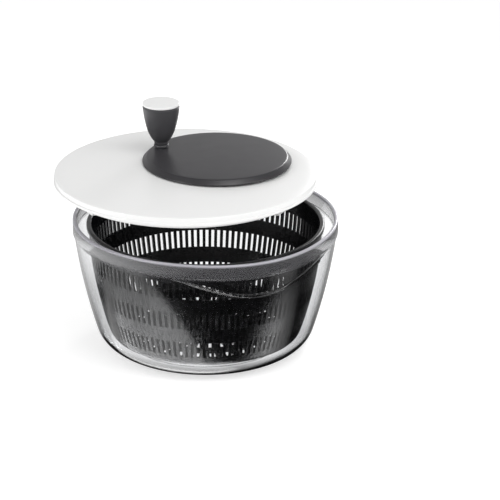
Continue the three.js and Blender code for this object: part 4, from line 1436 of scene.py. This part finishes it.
@dataclass
class Studio:
    """A pale floor, a white surround, soft lights and the camera."""

    aim: tuple[float, float, float] = (0.0, 0.0, 0.070)
    distance: float = 2.3
    elevation: float = math.radians(22.6)
    lens: float = 166.1
    shift: tuple[float, float] = (0.089, 0.0486)
    floor_radius: float = 6.0
    open_light: float = 1.05
    ambient: float = 0.5
    steep_light: float = 0.12
    mirror_stops: tuple[Point, ...] = (
        (0.0, 0.45), (0.045, 0.25), (0.085, 0.006), (0.24, 0.01), (0.3, 0.42),
        (0.4, 0.5), (0.5, 0.62), (0.66, 0.66), (0.74, 0.22), (1.0, 0.15),
    )
    shelf_stops: tuple[Point, ...] = ((0.24, 0.0), (0.29, 1.0), (0.4, 1.0), (0.46, 0.0))
    left_tilt: float = 2.5
    left_edge: float = 2.08
    left_strength: float = 0.9
    right_tilt: float = 1.2
    right_edge: float = 1.47
    right_strength: float = 0.75
    behind_gain: float = 2.6
    shelf_strength: float = 2.4
    lights: tuple[Softbox, ...] = (
        Softbox("softbox_left", (-1.5, -0.9, 0.9), (0, 0, 0.1), (0.5, 1.6), 12.0),
        Softbox("softbox_right", (1.5, -0.7, 0.9), (0, 0, 0.1), (0.5, 1.6), 8.0),
        Softbox("softbox_back", (0.38, 0.85, 0.45), (0, 0, 0.18), (0.25, 0.3), 2.8),
        Softbox("softbox_top", (0.35, -0.65, 1.15), (0, 0, 0.15), (0.7, 0.7), 5.8),
    )

    def build(self) -> None:
        """Sets up floor, surround, lights and camera."""
        self.build_floor()
        self.build_surround()
        for light in self.lights:
            light.build()
        self.build_camera()
        bpy.context.scene.view_settings.view_transform = "Standard"

    def build_floor(self) -> None:
        """Lays the floor just under the bowl."""
        mesh = bmesh.new()
        bmesh.ops.create_circle(mesh, cap_ends=True, radius=self.floor_radius, segments=64)
        moved(mesh, Vector((0, 0, -0.3 * MM)))
        floor = to_object(mesh, "studio_floor")

        def paint(graph: Graph) -> Wire:
            """The floor's shader.

            Args:
                graph: the material's graph.

            Returns:
                The surface.
            """
            cloud = graph.noise(graph.object_place(), 3.0)
            inputs = {
                "Base Color": graph.blend(cloud, (0.6, 0.6, 0.6), (0.61, 0.61, 0.61)),
                "Roughness": 0.6,
                "Specular IOR Level": 0.1,
                "Emission Color": (1.0, 1.0, 1.0, 1.0),
                "Emission Strength": 0.6,
            }
            return graph.node("ShaderNodeBsdfPrincipled", {}, inputs)

        floor.data.materials.append(new_material("floor_white", paint))
        floor.visible_glossy = False
        floor.visible_transmission = False

    def build_surround(self) -> None:
        """Fills the world with white, and with a dimmer studio for what is mirrored.

        Rise runs from 0 straight below to 1 straight above. What is mirrored is a grey that changes with the
        rise, a pale panel low on each side and a pale shelf on the left. Steep rays that come through the
        plastic are dimmed too.
        """
        world = bpy.data.worlds.new("studio_surround")
        bpy.context.scene.world = world
        world.use_nodes = True
        graph = Graph(world.node_tree)
        rays = graph.node("ShaderNodeLightPath").socket.node.outputs
        mirrored = Wire(graph, rays["Glossy Depth"]).limited()
        bounced = (Wire(graph, rays["Diffuse Depth"]) + Wire(graph, rays["Is Diffuse Ray"])).limited()
        behind = (Wire(graph, rays["Transmission Depth"]) * 0.5 - 1.0).limited()
        way = graph.node("ShaderNodeTexCoord", output="Generated")
        parts = graph.node("ShaderNodeSeparateXYZ", {}, {0: way}).socket.node.outputs
        side, depth = Wire(graph, parts["X"]), Wire(graph, parts["Z"])
        rise = depth * 0.5 + 0.5
        leftwards = (0.0 - side).limited()
        horizon = graph.node("ShaderNodeValToRGB", {"stops": self.mirror_stops}, {0: rise})
        shelf = graph.node("ShaderNodeValToRGB", {"stops": self.shelf_stops}, {0: rise})
        fade = graph.node("ShaderNodeMapRange", {}, {0: side, 1: -0.9, 2: -0.6, 3: 0.3, 4: 1.0})
        left = self.panel(graph, 0.0 - side - depth * self.left_tilt, self.left_edge) * fade
        left = left * self.left_strength
        right = self.panel(graph, side - depth * self.right_tilt, self.right_edge) * self.right_strength
        low = graph.node("ShaderNodeMapRange", {}, {0: rise, 1: 0.4, 2: 0.3, 3: 0.0, 4: 1.0})
        panels = (left + right) * low * (1.0 + behind * self.behind_gain)
        mirror = horizon + panels + shelf * leftwards * leftwards * self.shelf_strength
        ends = {0: rise, 1: 0.2, 2: 0.29, 3: self.steep_light, 4: self.open_light}
        through = graph.node("ShaderNodeMapRange", {}, ends)
        strength = through + mirrored * (mirror - through) + bounced * (self.ambient - through)
        shade = graph.node("ShaderNodeBackground", {}, {"Color": (1.0, 1.0, 1.0, 1.0), "Strength": strength})
        graph.node("ShaderNodeOutputWorld", {}, {"Surface": shade})

    @staticmethod
    def panel(graph: Graph, place: Wire, edge: float) -> Wire:
        """A pale panel that stands where a measure passes an edge.

        Args:
            graph: the world's graph.
            place: the measure, which grows towards the panel.
            edge: where the panel starts.

        Returns:
            1 on the panel and 0 off it.
        """
        ends = {0: place, 1: edge, 2: edge + 0.12, 3: 0.0, 4: 1.0}
        return graph.node("ShaderNodeMapRange", {"interpolation_type": "SMOOTHSTEP"}, ends)

    def build_camera(self) -> None:
        """Sets up the camera."""
        data = bpy.data.cameras.new("studio_camera")
        data.lens = self.lens
        data.sensor_width = 36.0
        data.shift_x, data.shift_y = self.shift
        data.clip_end = 50.0
        camera = bpy.data.objects.new("studio_camera", data)
        aim = Vector(self.aim)
        back = Vector((0, -math.cos(self.elevation), math.sin(self.elevation)))
        camera.location = aim + back * self.distance
        camera.rotation_euler = (-back).to_track_quat("-Z", "Y").to_euler()
        bpy.context.scene.collection.objects.link(camera)
        bpy.context.scene.camera = camera


def main() -> None:
    """Builds the spinner and its studio."""
    logging.basicConfig(level=logging.INFO, format="%(name)s: %(message)s")
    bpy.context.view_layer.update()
    studio = Studio()
    studio.build()
    shop = Workshop()
    for assembly in [kind(shop) for kind in (Bowl, Basket, Lid, Crank, Knob, Drive)]:
        assembly.build()
    for piece in shop.pieces:
        LOG.info("%s: %d faces", piece.name, len(piece.data.polygons))


if __name__ == "__main__":
    main()
